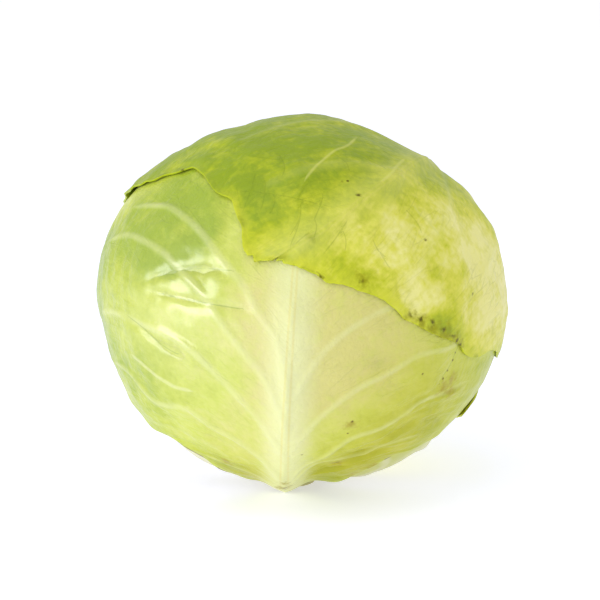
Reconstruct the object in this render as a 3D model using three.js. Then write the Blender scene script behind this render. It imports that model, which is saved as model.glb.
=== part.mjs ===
// A head of white cabbage, as cut from the field and stripped to its clean wrapper leaves.
//
// The head is a tight ball of leaves on one short stem. Its middle is a dense heart of inner leaves, pressed so
// hard together that they are one solid. Five wrapper leaves are folded round the heart, each a thin cupped
// blade with a thick midrib that starts at the stem. They overlap in the order in which they grew: the youngest
// lies deepest, and the cap leaf, the oldest, is pulled over the crown and hangs down in front.
//
// Millimetres, +Z up. The front leaf faces -Y. The head stands on the flat cut of its stem, at Z = 0, and the
// origin is under the middle of its bounding box.

import * as THREE from "three";

// Driving dimensions

// The heart, from its middle: half its width and depth, its height to the crown and its depth to the stem.
const HEART = { halfWidth: 88.2, halfDepth: 84.5, crown: 75.5, base: 80.5 };
// The plant's axis leans: its crown goes to the back and to the right, in degrees.
const LEAN = { back: 3, right: 3.5 };
// A blade's thickness inside and at its margin, the space between two blades that lie on each other, and the least
// that their flat faces may leave of it.
const BLADE = { thickness: 1.0, margin: 0.8, gap: 0.8, clearance: 0.5 };
// A midrib's height over its blade and its half width, at the stem and at the leaf's tip. Under another leaf it is
// pressed down to a share of that height.
const RIB = { baseHeight: 3.8, tipHeight: 0.9, baseHalfWidth: 10, tipHalfWidth: 4, pressed: 0.15 };
// The front leaf's midrib swells at its foot, which hangs over the stem: how high, and how far along the midrib.
const FOOT = { height: 2.6, share: 0.06 };
// A side vein's height over the blade, by the midrib and at the margin, and the share of the leaf's length over which
// veins rise out of its thick foot.
const VEIN = { innerHeight: 1.5, outerHeight: 0.5, footShare: 0.35 };
// A blade that lies over another's margin comes down from it between these distances past the margin.
const DRAPE = { start: 6, end: 22 };
// Where a blade's margin lies free it stands up in waves: how high, how far in from the margin, and how far apart.
const RUFFLE = { height: 1.8, reach: 13, spacing: 26 };
// The stem's radius at the cut and under the heart, how far the cut lies below the middle of the head, and how far
// it leans to the right and to the back of the plant's axis.
const STEM = { cutRadius: 12.2, topRadius: 11.5, chamfer: 0.8, cutDepth: 86.5, right: 1.5, back: 2.5, sides: 36 };
// Mean radius of the head, to turn angles on it into lengths.
const MEAN_RADIUS = 90;

// Soft swells and flats of the whole head: where they lie, as an angle round the stem and an angle down from
// the crown, how far they reach in degrees, and how high they stand in mm.
const SWELLS = [
  { around: 140, down: 10, reach: 18, height: 1.6 },
  { around: -113, down: 27, reach: 16, height: -2.6 },
  { around: 90, down: 36, reach: 22, height: -3.0 },
  { around: 95, down: 60, reach: 18, height: 5.2 },
  { around: 88, down: 98, reach: 24, height: 3.0 },
  { around: 78, down: 138, reach: 20, height: 1.8 },
  { around: 62, down: 157, reach: 12, height: 2.2 },
  { around: 40, down: 168, reach: 9, height: -2.2 },
  { around: -65, down: 150, reach: 18, height: 1.3 },
  { around: -90, down: 111, reach: 22, height: -3.2 },
  { around: -90, down: 52, reach: 26, height: 1.0 },
  { around: 180, down: 100, reach: 40, height: -1.0 },
  { around: 160, down: 160, reach: 22, height: -3.0 },
  { around: 0, down: 180, reach: 16, height: -3.0 },
];

// Half the outline of a plain wrapper leaf: angle to one side of its own midrib, and angle down from the crown.
// It runs from the foot at the stem, out to the widest part, and over the crown to the tip on the far side.
const PLAIN_SIDE = [
  [30, 169], [36, 158], [40, 149], [43, 140], [51, 133], [65, 128], [80, 119], [93, 106],
  [101, 90], [105, 73], [111, 55], [124, 41], [148, 31], [180, 27],
];
const RIB_FOOT = 169.5;
const PLAIN_TIP = 27;

// The cap leaf's margin across the front of the head, round the stem and down from the crown. It hangs lowest
// at the right, rises in a ragged line to the left, and turns up over a fold before it leaves the front.
const CAP_RIGHT = [
  [177, 169], [186, 158], [190, 148], [194, 139], [203, 131], [214, 122], [222, 108], [229, 93], [240, 79],
  [255, 67], [270, 61], [282, 56], [291, 52], [300, 48], [307, 45.5], [314, 46.5], [323, 50.5], [328, 53],
  [334, 54.5], [337, 58], [341, 63], [343, 68], [347, 70.5], [352, 70.5],
];
const CAP_LEFT = [
  [117, 169], [108, 158], [102, 148], [98, 138], [89, 130], [80, 122], [76, 116], [82, 110], [78, 103],
  [66, 97], [61, 97], [56, 97.5], [51, 95], [41, 90.5], [31, 86], [26, 82.5], [20, 79], [16, 77.5],
  [12, 76.5], [6, 75], [-2, 72], [-8, 70.5],
];
const CAP_RIB = [
  [147, 169.5], [146, 140], [144, 112], [140, 86], [130, 62], [112, 45], [75, 37], [42, 42], [22, 50],
  [6, 61], [-8, 70.5],
];

// The heart's own outer leaves end over one another on its surface: how far one stands over the next at its margin,
// how far past the margin the step falls, and how deep the blade lies beside its midrib.
const INNER = { step: 0.9, fall: 7, ribDepth: 0.7, ribHalfWidth: 9 };

// Leaves, mesh and materials

// From the deepest wrapper leaf to the outermost. Each next leaf grows 137.5 degrees further round the stem.
const WRAPPERS = [
  plainLeaf({ name: "left_leaf", around: -52.5, veins: 5, widen: 0.9, skew: 5 }),
  plainLeaf({ name: "right_leaf", around: 85, veins: 5, widen: 0.97, skew: -4 }),
  plainLeaf({ name: "back_leaf", around: -137.5, veins: 5, widen: 1.03, skew: 2 }),
  { ...plainLeaf({ name: "front_leaf", around: -2, veins: 7, widen: 1.0, skew: 0 }), hangingFoot: true },
  {
    name: "cap_leaf", around: 142, centreDown: 68, veins: 9,
    rib: CAP_RIB, right: CAP_RIGHT, left: CAP_LEFT,
  },
];
// The leaves that show on the heart, which grew next.
const INNER_LEAVES = [
  plainLeaf({ name: "first_inner", around: 170, veins: 0, widen: 0.88, skew: 6 }),
  plainLeaf({ name: "second_inner", around: 32.5, veins: 0, widen: 0.8, skew: -6 }),
  plainLeaf({ name: "third_inner", around: -105, veins: 0, widen: 0.84, skew: 4 }),
];
// Stations across a blade from its midrib to its margin, close together where the midrib stands up.
const ACROSS = [0, 0.035, 0.08, 0.145, 0.235, 0.34, 0.45, 0.56, 0.67, 0.78, 0.89, 1];
// Side veins leave the midrib closer to the stem than they reach the margin, by this power of their share of the
// margin, and sweep towards the tip on their way out by this share of their length.
const FAN = { power: 1.7, sweep: 0.32 };
// A vein takes three rows of points, its crest and a foot at each side of it, this share of the margin apart.
const VEIN_FOOT = 0.013;
// The spacing of plain rows along the midrib, and the share of the margin at which the last row lies.
const ROW_SPAN = 15;
const TIP_ROW = 0.985;
const HEART_MESH = { rings: 26, spokes: 52 };
// How often each blade is lifted clear of the flat faces below it.
const PASSES = 4;

const MATERIALS = {
  heart: finish(0xe9edb4, 0.55),
  inner: finish(0xd5e094, 0.5),
  front: finish(0xd3df8c, 0.45),
  cap: finish(0xb3c552, 0.48),
  stem: finish(0xe3dfb6, 0.7),
};
const LEAF_MATERIAL = {
  left_leaf: MATERIALS.inner,
  right_leaf: MATERIALS.inner,
  back_leaf: MATERIALS.inner,
  front_leaf: MATERIALS.front,
  cap_leaf: MATERIALS.cap,
};

function finish(color, roughness) {
  return new THREE.MeshStandardMaterial({ color, roughness, metalness: 0 });
}

// A wrapper leaf of the common outline, turned round the stem to its own place. widen stretches its sides, and
// skew turns its tip a little round the crown.
function plainLeaf({ name, around, veins, widen, skew }) {
  const side = (sign) =>
    PLAIN_SIDE.map(([off, down]) => {
      const towardsTip = off / 180;
      const stretch = 1 + (widen - 1) * Math.sin(Math.PI * towardsTip);
      return [around + sign * off * stretch + skew * towardsTip, down];
    });
  const rib = [
    [around, RIB_FOOT], [around, 135], [around, 105], [around, 75], [around, 45], [around, 15],
    [around + 180 + skew, 10], [around + 180 + skew, PLAIN_TIP],
  ];
  return { name, around, centreDown: 76, veins, rib, right: side(1), left: side(-1) };
}

// Directions and the flat pattern of a leaf

// A unit vector out of the middle of the head.
function direction(around, down) {
  const a = THREE.MathUtils.degToRad(around);
  const d = THREE.MathUtils.degToRad(down);
  return new THREE.Vector3(Math.sin(d) * Math.sin(a), -Math.sin(d) * Math.cos(a), Math.cos(d));
}

// A leaf's pattern is its blade laid out flat, in degrees from its centre, which keeps every distance from that
// centre true. flatten lays a direction out and wrap puts a point of the pattern back round the head.
function patternFrame(leaf) {
  const centre = direction(leaf.around, leaf.centreDown);
  const up = direction(0, 0);
  up.addScaledVector(centre, -up.dot(centre)).normalize();
  const right = new THREE.Vector3().crossVectors(up, centre);
  return { centre, up, right };
}

function flatten(frame, dir) {
  const along = THREE.MathUtils.clamp(dir.dot(frame.centre), -1, 1);
  const x = dir.dot(frame.right);
  const y = dir.dot(frame.up);
  const off = Math.hypot(x, y) || 1;
  const angle = THREE.MathUtils.radToDeg(Math.acos(along));
  return new THREE.Vector2((x / off) * angle, (y / off) * angle);
}

function wrap(frame, point) {
  const angle = THREE.MathUtils.degToRad(point.length());
  const away = point.length() || 1;
  return new THREE.Vector3()
    .addScaledVector(frame.centre, Math.cos(angle))
    .addScaledVector(frame.right, (Math.sin(angle) * point.x) / away)
    .addScaledVector(frame.up, (Math.sin(angle) * point.y) / away);
}

// Curves of the leaf in its pattern, and the same curves as directions, for measuring distances on the head.
function prepareLeaf(leaf) {
  const frame = patternFrame(leaf);
  const curve = (points) =>
    new THREE.SplineCurve(points.map(([around, down]) => flatten(frame, direction(around, down))));
  const rib = curve(leaf.rib);
  const right = curve(leaf.right);
  const left = curve(leaf.left);
  const outline = [...right.getSpacedPoints(60), ...left.getSpacedPoints(60).reverse().slice(1)];
  return {
    ...leaf, frame, rib, right, left, outline,
    margin: outline.map((p) => wrap(frame, p)),
    marginLength: arcLength(right) + arcLength(left),
    ribLength: arcLength(rib),
    ribPath: rib.getSpacedPoints(40).map((p) => wrap(frame, p)),
  };
}

function arcLength(curve) {
  return THREE.MathUtils.degToRad(curve.getLength()) * MEAN_RADIUS;
}

// Nearest point of a path of directions: its distance in mm and how far along the path it lies, from 0 to 1.
function nearest(path, dir, closed) {
  const best = { distance: Infinity, along: 0 };
  const spans = closed ? path.length : path.length - 1;
  const span = new THREE.Vector3();
  const reach = new THREE.Vector3();
  for (let i = 0; i < spans; i++) {
    const a = path[i];
    span.subVectors(path[(i + 1) % path.length], a);
    reach.subVectors(dir, a);
    const share = THREE.MathUtils.clamp(reach.dot(span) / span.lengthSq(), 0, 1);
    const distance = reach.addScaledVector(span, -share).length() * MEAN_RADIUS;
    if (distance < best.distance) {
      best.distance = distance;
      best.along = (i + share) / spans;
    }
  }
  return best;
}

function isInside(outline, point) {
  let inside = false;
  for (let i = 0, j = outline.length - 1; i < outline.length; j = i++) {
    const a = outline[i];
    const b = outline[j];
    const crosses = a.y > point.y !== b.y > point.y;
    if (crosses && point.x < ((b.x - a.x) * (point.y - a.y)) / (b.y - a.y) + a.x) inside = !inside;
  }
  return inside;
}

// How far a direction lies past the margin of a leaf, in mm, and negative on the blade.
function pastMargin(leaf, dir) {
  const { distance } = nearest(leaf.margin, dir, true);
  return isInside(leaf.outline, flatten(leaf.frame, dir)) ? -distance : distance;
}

// The surface of the heart and the layers on it

function angleTo(dir, around, down) {
  const cosine = THREE.MathUtils.clamp(dir.dot(direction(around, down)), -1, 1);
  return THREE.MathUtils.radToDeg(Math.acos(cosine));
}

function heartRadius(dir) {
  const height = dir.z > 0 ? HEART.crown : HEART.base;
  const oval = Math.hypot(dir.x / HEART.halfWidth, dir.y / HEART.halfDepth, dir.z / height);
  let radius = 1 / oval;
  for (const swell of SWELLS) {
    radius += swell.height * Math.exp(-((angleTo(dir, swell.around, swell.down) / swell.reach) ** 2));
  }
  return radius;
}

// 1 where a leaf's blade lies, falling to 0 a little way past its margin.
function cover(leaf, dir) {
  return 1 - THREE.MathUtils.smoothstep(pastMargin(leaf, dir), DRAPE.start, DRAPE.end);
}

function ribHeight(leaves, index, dir) {
  const { distance, along } = nearest(leaves[index].ribPath, dir, false);
  const foot = leaves[index].hangingFoot ? FOOT.height * Math.exp(-((along / FOOT.share) ** 2)) : 0;
  const height = THREE.MathUtils.lerp(RIB.baseHeight, RIB.tipHeight, along ** 0.7) + foot;
  const halfWidth = THREE.MathUtils.lerp(RIB.baseHalfWidth, RIB.tipHalfWidth, along);
  const free = THREE.MathUtils.lerp(RIB.pressed, 1, exposed(leaves, index, dir));
  return height * free * Math.exp(-((distance / halfWidth) ** 2));
}

// Radius of the underside of a wrapper leaf: the heart and every younger leaf below it.
function underside(leaves, index, dir) {
  let radius = heartRadius(dir) + BLADE.gap;
  for (let below = 0; below < index; below++) {
    const layer = BLADE.thickness + ribHeight(leaves, below, dir) + BLADE.gap;
    radius += cover(leaves[below], dir) * layer;
  }
  return radius;
}

// 1 where nothing lies on a leaf, 0 where an older leaf presses it flat.
function exposed(leaves, index, dir) {
  return leaves.slice(index + 1).reduce((open, above) => open * (1 - cover(above, dir)), 1);
}

// The blade of a wrapper leaf

// A point of the pattern on row v, from the foot to the tip, at share u across, from the midrib to the margin.
function patternPoint(leaf, side, v, u) {
  const start = leaf.rib.getPointAt(v ** FAN.power);
  const end = side.getPointAt(v);
  const forward = leaf.rib.getTangentAt(v ** FAN.power);
  const bend = start.distanceTo(end) * FAN.sweep * (1 - v);
  const middle = start.clone().lerp(end, 0.5).addScaledVector(forward, bend);
  return new THREE.QuadraticBezierCurve(start, middle, end).getPoint(u);
}

// The rows of a blade: where each lies, and whether it is the crest of a vein. Veins are spaced evenly along the
// margin, and plain rows fill the spans between them.
function leafRows({ veins, ribLength }) {
  const rows = [{ v: 0, crest: false }];
  const plainUpTo = (end) => {
    const { v: start } = rows.at(-1);
    const span = (end ** FAN.power - start ** FAN.power) * ribLength;
    const steps = Math.max(2, Math.round(span / ROW_SPAN));
    for (let i = 1; i < steps; i++) rows.push({ v: start + ((end - start) * i) / steps, crest: false });
  };
  for (let i = 0; i < veins; i++) {
    const v = (i + 0.7) / veins;
    plainUpTo(v - VEIN_FOOT);
    rows.push({ v: v - VEIN_FOOT, crest: false }, { v, crest: true }, { v: v + VEIN_FOOT, crest: false });
  }
  rows.push({ v: TIP_ROW, crest: false });
  return rows;
}

// How far the margin's waves lift a blade off what it lies on.
function ruffle(leaves, index, dir) {
  const { distance, along } = nearest(leaves[index].margin, dir, true);
  const length = leaves[index].marginLength;
  const waves = Math.round(length / RUFFLE.spacing);
  const wave = 0.5 + 0.32 * Math.sin(2 * Math.PI * waves * along) + 0.18 * Math.sin(6.3 * waves * along + index);
  const near = Math.max(0, 1 - distance / RUFFLE.reach);
  return RUFFLE.height * wave * near ** 2 * exposed(leaves, index, dir);
}

// The points of a blade, row by row: each has its direction, the radius of its underside and its thickness there.
function leafPoints(leaves, index) {
  const leaf = leaves[index];
  const stations = [...ACROSS.slice(1).reverse().map((u) => -u), ...ACROSS];
  const rows = leafRows(leaf).map(({ v, crest }) =>
    stations.map((station) => {
      const u = Math.abs(station);
      const dir = wrap(leaf.frame, patternPoint(leaf, station < 0 ? leaf.left : leaf.right, v, u));
      const risen = THREE.MathUtils.smoothstep(v, 0, VEIN.footShare);
      const vein = crest ? risen * THREE.MathUtils.lerp(VEIN.innerHeight, VEIN.outerHeight, u) : 0;
      return {
        dir,
        radius: underside(leaves, index, dir) + ruffle(leaves, index, dir),
        height:
          THREE.MathUtils.lerp(BLADE.thickness, BLADE.margin, u ** 6) +
          ribHeight(leaves, index, dir) +
          vein * exposed(leaves, index, dir),
      };
    }),
  );
  return { points: rows.flat(), columns: stations.length };
}

// The flat triangles between rows of points, as indices.
function gridTriangles(count, columns) {
  const triangles = [];
  for (let a = 0; a + columns + 1 < count; a++) {
    if (a % columns === columns - 1) continue;
    triangles.push([a, a + 1, a + columns + 1], [a, a + columns + 1, a + columns]);
  }
  return triangles;
}

// Flat faces seen from the middle of the head, for asking how far out they lie in a direction.
function faces(points, triangles, radiusOf) {
  return triangles.map((corners) => {
    const at = corners.map((i) => points[i].dir.clone().multiplyScalar(radiusOf(points[i])));
    const middle = new THREE.Vector3().add(at[0]).add(at[1]).add(at[2]).normalize();
    const reach = Math.min(...corners.map((i) => points[i].dir.dot(middle)));
    return { at, middle, reach: reach - 1e-6, corners: corners.map((i) => points[i]) };
  });
}

function meet(sheet, dir) {
  const ray = new THREE.Ray(new THREE.Vector3(), dir);
  const hit = new THREE.Vector3();
  for (const face of sheet) {
    if (face.middle.dot(dir) < face.reach) continue;
    if (ray.intersectTriangle(...face.at, false, hit)) return { radius: hit.length(), face };
  }
  return null;
}

// Every point of a sheet, and the points that share an edge or a face, in groups.
function pointGroups(points, triangles) {
  const shared = triangles.flatMap(([a, b, c]) => [[a, b], [b, c], [c, a], [a, b, c]]);
  return [...points.keys()].map((i) => [i]).concat(shared).map((group) => group.map((i) => points[i]));
}

// The middle of a group of points, as a vector from the middle of the head.
function groupMiddle(group, radiusOf) {
  const sum = group.reduce((total, point) => total.addScaledVector(point.dir, radiusOf(point)), new THREE.Vector3());
  return sum.divideScalar(group.length);
}

const bottomRadius = ({ radius }) => radius;
const topRadius = ({ radius, height }) => radius + height;

// Lifts the points of a blade until its flat faces clear the flat faces of everything below.
function clearBelow(points, triangles, below) {
  const groups = pointGroups(points, triangles);
  const floors = groups.map((group) => {
    const dir = groupMiddle(group, () => 1).normalize();
    return Math.max(...below.map(({ top }) => meet(top, dir)?.radius ?? 0)) + BLADE.clearance;
  });
  for (let pass = 0; pass < PASSES; pass++) {
    raise(groups.map((group, i) => [group, floors[i] - groupMiddle(group, bottomRadius).length()]));
    const bottom = faces(points, triangles, bottomRadius);
    const pierced = below
      .flatMap(({ peaks }) => peaks)
      .map(({ dir, radius }) => ({ radius, over: meet(bottom, dir) }))
      .filter(({ over }) => over);
    raise(pierced.map(({ radius, over }) => [over.face.corners, radius + BLADE.clearance - over.radius]));
  }
}

// Raises each group's points by what the group is short of, and a point of many groups by the most of them.
function raise(shortages) {
  const rises = new Map();
  for (const [group, short] of shortages) {
    for (const point of group) rises.set(point, Math.max(short, rises.get(point) ?? 0));
  }
  for (const [point, rise] of rises) point.radius += rise;
}

// What a later leaf needs to know of a finished sheet: its outer faces, and the points of them to stay clear of.
function finished(points, triangles) {
  const peaks = pointGroups(points, triangles).map((group) => {
    const middle = groupMiddle(group, topRadius);
    return { radius: middle.length(), dir: middle.normalize() };
  });
  return { peaks, top: faces(points, triangles, topRadius) };
}

// Every blade, from the deepest out, as a closed shell: an outer sheet, an inner sheet and a rim that joins them.
function leafGeometries(leaves, heart, place) {
  const below = [finished(heart.points, heart.triangles)];
  return leaves.map((_, index) => {
    const { points, columns } = leafPoints(leaves, index);
    const triangles = gridTriangles(points.length, columns);
    clearBelow(points, triangles, below);
    below.push(finished(points, triangles));
    return shell(points, triangles, columns, place);
  });
}

function shell(points, triangles, columns, place) {
  const count = points.length;
  const outer = points.map(({ dir, radius, height }) => place(dir, radius + height));
  const inner = points.map(({ dir, radius }) => place(dir, radius));
  const index = triangles.flatMap(([a, b, c]) => [a, b, c, count + a, count + c, count + b]);
  const rim = [];
  for (let i = 0; i < columns - 1; i++) rim.push(i);
  for (let i = columns - 1; i < count - 1; i += columns) rim.push(i);
  for (let i = count - 1; i > count - columns; i--) rim.push(i);
  for (let i = count - columns; i > 0; i -= columns) rim.push(i);
  rim.forEach((from, i) => {
    const to = rim[(i + 1) % rim.length];
    index.push(count + from, count + to, to, count + from, to, from);
  });
  return indexedGeometry([...outer, ...inner], index);
}

function indexedGeometry(points, index) {
  const geometry = new THREE.BufferGeometry().setFromPoints(points);
  geometry.setIndex(index);
  geometry.computeVertexNormals();
  return geometry;
}

// The heart

// How deep the heart's surface lies under its round outline, past the margins and beside the midribs of its leaves.
function heartRelief(innerLeaves, dir) {
  const steps = innerLeaves.map((leaf) => INNER.step * THREE.MathUtils.smoothstep(pastMargin(leaf, dir), 0, INNER.fall));
  const beside = innerLeaves.map((leaf) => nearest(leaf.ribPath, dir, false).distance / INNER.ribHalfWidth);
  return steps.reduce((a, b) => a + b) + INNER.ribDepth * (1 - Math.exp(-(Math.min(...beside) ** 2)));
}

// A ball of rings and spokes, closed by one point at the crown and one at the stem.
function heartSheet(innerLeaves) {
  const { rings, spokes } = HEART_MESH;
  const points = [];
  const add = (dir) => points.push({ dir, radius: heartRadius(dir) - heartRelief(innerLeaves, dir), height: 0 });
  add(direction(0, 0));
  for (let ring = 1; ring < rings; ring++) {
    for (let spoke = 0; spoke < spokes; spoke++) add(direction((360 * spoke) / spokes, (180 * ring) / rings));
  }
  add(direction(0, 180));
  const at = (ring, spoke) => 1 + (ring - 1) * spokes + (spoke % spokes);
  const triangles = [];
  for (let spoke = 0; spoke < spokes; spoke++) {
    triangles.push([0, at(1, spoke), at(1, spoke + 1)]);
    for (let ring = 1; ring < rings - 1; ring++) {
      const across = at(ring + 1, spoke + 1);
      triangles.push([at(ring, spoke), at(ring + 1, spoke), across], [at(ring, spoke), across, at(ring, spoke + 1)]);
    }
    triangles.push([at(rings - 1, spoke), points.length - 1, at(rings - 1, spoke + 1)]);
  }
  return { points, triangles };
}

// The stem

// A short stub from under the heart down to the cut. The cut is level, so that the head stands upright on it.
function stemGeometry(place, cutLevel) {
  const top = heartRadius(direction(0, 180)) + 2 * BLADE.gap;
  const chamferRadius = STEM.cutRadius - STEM.chamfer;
  const ring = (radius, depth) =>
    Array.from({ length: STEM.sides }, (_, i) => {
      const turn = (2 * Math.PI * i) / STEM.sides;
      return new THREE.Vector3(radius * Math.sin(turn), -radius * Math.cos(turn), -depth);
    });
  const axis = place(direction(0, 180), 1).sub(place(direction(0, 180), 0));
  // Slides a point down the plant's axis until it meets a level plane.
  const slide = (point, level) => point.addScaledVector(axis, (level - point.z) / axis.z);
  const world = (p) => place(p.clone().normalize(), p.length());
  // A point of the cut: level, and leaning away from the plant's axis.
  const cut = (p, level) => slide(world(p), level).add(new THREE.Vector3(STEM.right, STEM.back, 0));
  const rings = [
    ring(STEM.topRadius, top).map(world),
    ring(STEM.cutRadius, STEM.cutDepth).map((p) => cut(p, cutLevel + 2)),
    ring(STEM.cutRadius, STEM.cutDepth).map((p) => cut(p, cutLevel + STEM.chamfer)),
    ring(chamferRadius, STEM.cutDepth).map((p) => cut(p, cutLevel)),
  ];
  const points = rings.flat();
  const topCentre = points.push(world(new THREE.Vector3(0, 0, -top))) - 1;
  const cutCentre = points.push(cut(new THREE.Vector3(0, 0, -STEM.cutDepth), cutLevel)) - 1;
  const index = [];
  const at = (level, i) => level * STEM.sides + (i % STEM.sides);
  for (let i = 0; i < STEM.sides; i++) {
    index.push(topCentre, at(0, i), at(0, i + 1));
    for (let level = 0; level < rings.length - 1; level++) {
      const a = at(level, i);
      const b = at(level + 1, i);
      const c = at(level + 1, i + 1);
      const d = at(level, i + 1);
      index.push(a, b, c, a, c, d);
    }
    index.push(cutCentre, at(3, i + 1), at(3, i));
  }
  return indexedGeometry(points, index);
}

// The whole head

const lean = new THREE.Matrix4()
  .makeRotationY(THREE.MathUtils.degToRad(LEAN.right))
  .multiply(new THREE.Matrix4().makeRotationX(THREE.MathUtils.degToRad(-LEAN.back)));

// A point at a radius from the middle of the head, in the leaning plant's own directions.
function place(dir, radius) {
  return dir.clone().multiplyScalar(radius).applyMatrix4(lean);
}

function named(name, geometry, material) {
  const mesh = new THREE.Mesh(geometry, material);
  mesh.name = name;
  return mesh;
}

const head = new THREE.Group();
const leaves = WRAPPERS.map(prepareLeaf);
const heart = heartSheet(INNER_LEAVES.map(prepareLeaf));
const heartPoints = heart.points.map(({ dir, radius }) => place(dir, radius));
head.add(named("heart", indexedGeometry(heartPoints, heart.triangles.flat()), MATERIALS.heart));
head.add(named("stem", stemGeometry(place, -STEM.cutDepth), MATERIALS.stem));
leafGeometries(leaves, heart, place).forEach((geometry, i) => {
  head.add(named(leaves[i].name, geometry, LEAF_MATERIAL[leaves[i].name]));
});

// Stand the head on its stem, with the origin under the middle of its box.
const box = new THREE.Box3().setFromObject(head);
const middle = box.getCenter(new THREE.Vector3());
head.position.set(-middle.x, -middle.y, STEM.cutDepth);

export default head;
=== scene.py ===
# %% [markdown]
# A head of white cabbage
#
# The head is a ball of leaves on one short stem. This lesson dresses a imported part, the "frame", whose solids
# already have the right size, place and form: a heart, a stem and five wrapper leaves. Each leaf is made again
# here as a fine mesh on the same rules, with its veins, creases and torn edges, and gets a waxy, living finish.
# Everything is in metres, +Z up, and the front leaf faces -Y.

import math

import bpy
import numpy as np
from mathutils import Matrix, Vector


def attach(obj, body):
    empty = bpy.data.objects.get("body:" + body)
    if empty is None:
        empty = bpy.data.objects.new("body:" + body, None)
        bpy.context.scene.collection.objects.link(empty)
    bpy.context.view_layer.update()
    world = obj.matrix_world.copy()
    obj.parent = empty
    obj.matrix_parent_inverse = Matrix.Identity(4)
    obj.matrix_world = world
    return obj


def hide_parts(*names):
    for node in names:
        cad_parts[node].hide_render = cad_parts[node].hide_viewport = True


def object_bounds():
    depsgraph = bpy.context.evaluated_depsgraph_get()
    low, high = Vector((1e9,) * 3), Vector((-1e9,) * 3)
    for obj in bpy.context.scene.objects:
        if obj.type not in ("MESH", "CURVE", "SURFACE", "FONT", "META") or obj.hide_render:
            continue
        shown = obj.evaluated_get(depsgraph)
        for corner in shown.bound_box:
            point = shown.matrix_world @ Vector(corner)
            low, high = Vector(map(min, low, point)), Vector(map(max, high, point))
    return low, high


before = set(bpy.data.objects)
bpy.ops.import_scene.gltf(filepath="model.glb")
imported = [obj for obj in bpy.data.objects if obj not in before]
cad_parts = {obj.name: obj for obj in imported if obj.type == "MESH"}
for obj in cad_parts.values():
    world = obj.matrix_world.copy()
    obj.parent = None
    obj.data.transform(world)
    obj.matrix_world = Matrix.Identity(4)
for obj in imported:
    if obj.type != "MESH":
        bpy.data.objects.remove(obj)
cad_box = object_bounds()
MM = 0.001
print("frame nodes:", sorted(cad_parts))

# %% [markdown]
# The measurements
#
# A plant is best measured the way it grew: round its stem and down from its crown. "Around" is an angle round
# the plant's axis, 0 at the front and growing to the right, and "down" is the angle from the crown, so the stem
# is at 180. The head's own surface is an oval, with a few soft swells and flats on it. These values are those of
# the frame's source, so both models have one form.

# %% The size of the head, in millimetres and degrees
HALF_WIDTH, HALF_DEPTH, CROWN, BASE = 88.2, 84.5, 75.5, 80.5
LEAN_BACK, LEAN_RIGHT = 3.0, 3.5
HEAD_MIDDLE = np.array([-2.345, 1.189, 86.5])
MEAN_RADIUS = 90.0

BLADE, BLADE_MARGIN, GAP = 1.0, 0.8, 0.8
DRAPE_START, DRAPE_END = 6.0, 22.0
RIB_BASE, RIB_TIP, RIB_BASE_WIDTH, RIB_TIP_WIDTH, RIB_PRESSED = 3.8, 0.9, 10.0, 4.0, 0.15
FOOT_HEIGHT, FOOT_SHARE = 2.6, 0.06
RUFFLE_HEIGHT, RUFFLE_REACH, RUFFLE_SPACING = 1.8, 13.0, 26.0
FAN_POWER, FAN_SWEEP = 1.7, 0.32

# around, down, reach, height
SWELLS = [
    (140, 10, 18, 1.6), (-113, 27, 16, -2.6), (90, 36, 22, -3.0), (95, 60, 18, 5.2), (88, 98, 24, 3.0),
    (78, 138, 20, 1.8), (62, 157, 12, 2.2), (40, 168, 9, -2.2), (-65, 150, 18, 1.3), (-90, 111, 22, -3.2),
    (-90, 52, 26, 1.0), (180, 100, 40, -1.0), (160, 160, 22, -3.0), (0, 180, 16, -3.0),
]


# %% Directions from the middle of the head
def direction(around, down):
    """Unit vectors for angles round the stem and down from the crown, in degrees."""
    a, d = np.radians(around), np.radians(down)
    return np.stack([np.sin(d) * np.sin(a), -np.sin(d) * np.cos(a), np.cos(d) + 0 * a], -1)


def smooth(x, start, end):
    """0 before start, 1 after end, and a smooth rise between them."""
    t = np.clip((x - start) / (end - start), 0, 1)
    return t * t * (3 - 2 * t)


LEAN = np.array(
    Matrix.Rotation(math.radians(LEAN_RIGHT), 3, "Y") @ Matrix.Rotation(math.radians(-LEAN_BACK), 3, "X")
)


def place(dirs, radius):
    """Points of the standing head, in metres, at these radii in the leaning plant's directions."""
    return ((dirs * radius[:, None]) @ LEAN.T + HEAD_MIDDLE) * MM


# %% The oval of the heart
def heart_radius(dirs):
    height = np.where(dirs[:, 2] > 0, CROWN, BASE)
    oval = np.sqrt((dirs[:, 0] / HALF_WIDTH) ** 2 + (dirs[:, 1] / HALF_DEPTH) ** 2 + (dirs[:, 2] / height) ** 2)
    radius = 1 / oval
    for around, down, reach, height in SWELLS:
        angle = np.degrees(np.arccos(np.clip(dirs @ direction(around, down), -1, 1)))
        radius += height * np.exp(-((angle / reach) ** 2))
    return radius


print("heart from crown to stem: %.1f mm" % heart_radius(direction(np.array([0, 0]), np.array([0, 180]))).sum())

# %% [markdown]
# Leaves as flat patterns
#
# A tailor would cut each leaf flat and wrap it round the ball. That is what the pattern does: it is the map of
# the blade around its own centre, in millimetres along the surface, and its outline and midrib are curves in it.
# Veins, creases and colours are drawn in the same pattern later, so they follow the leaf and not the room.


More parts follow.
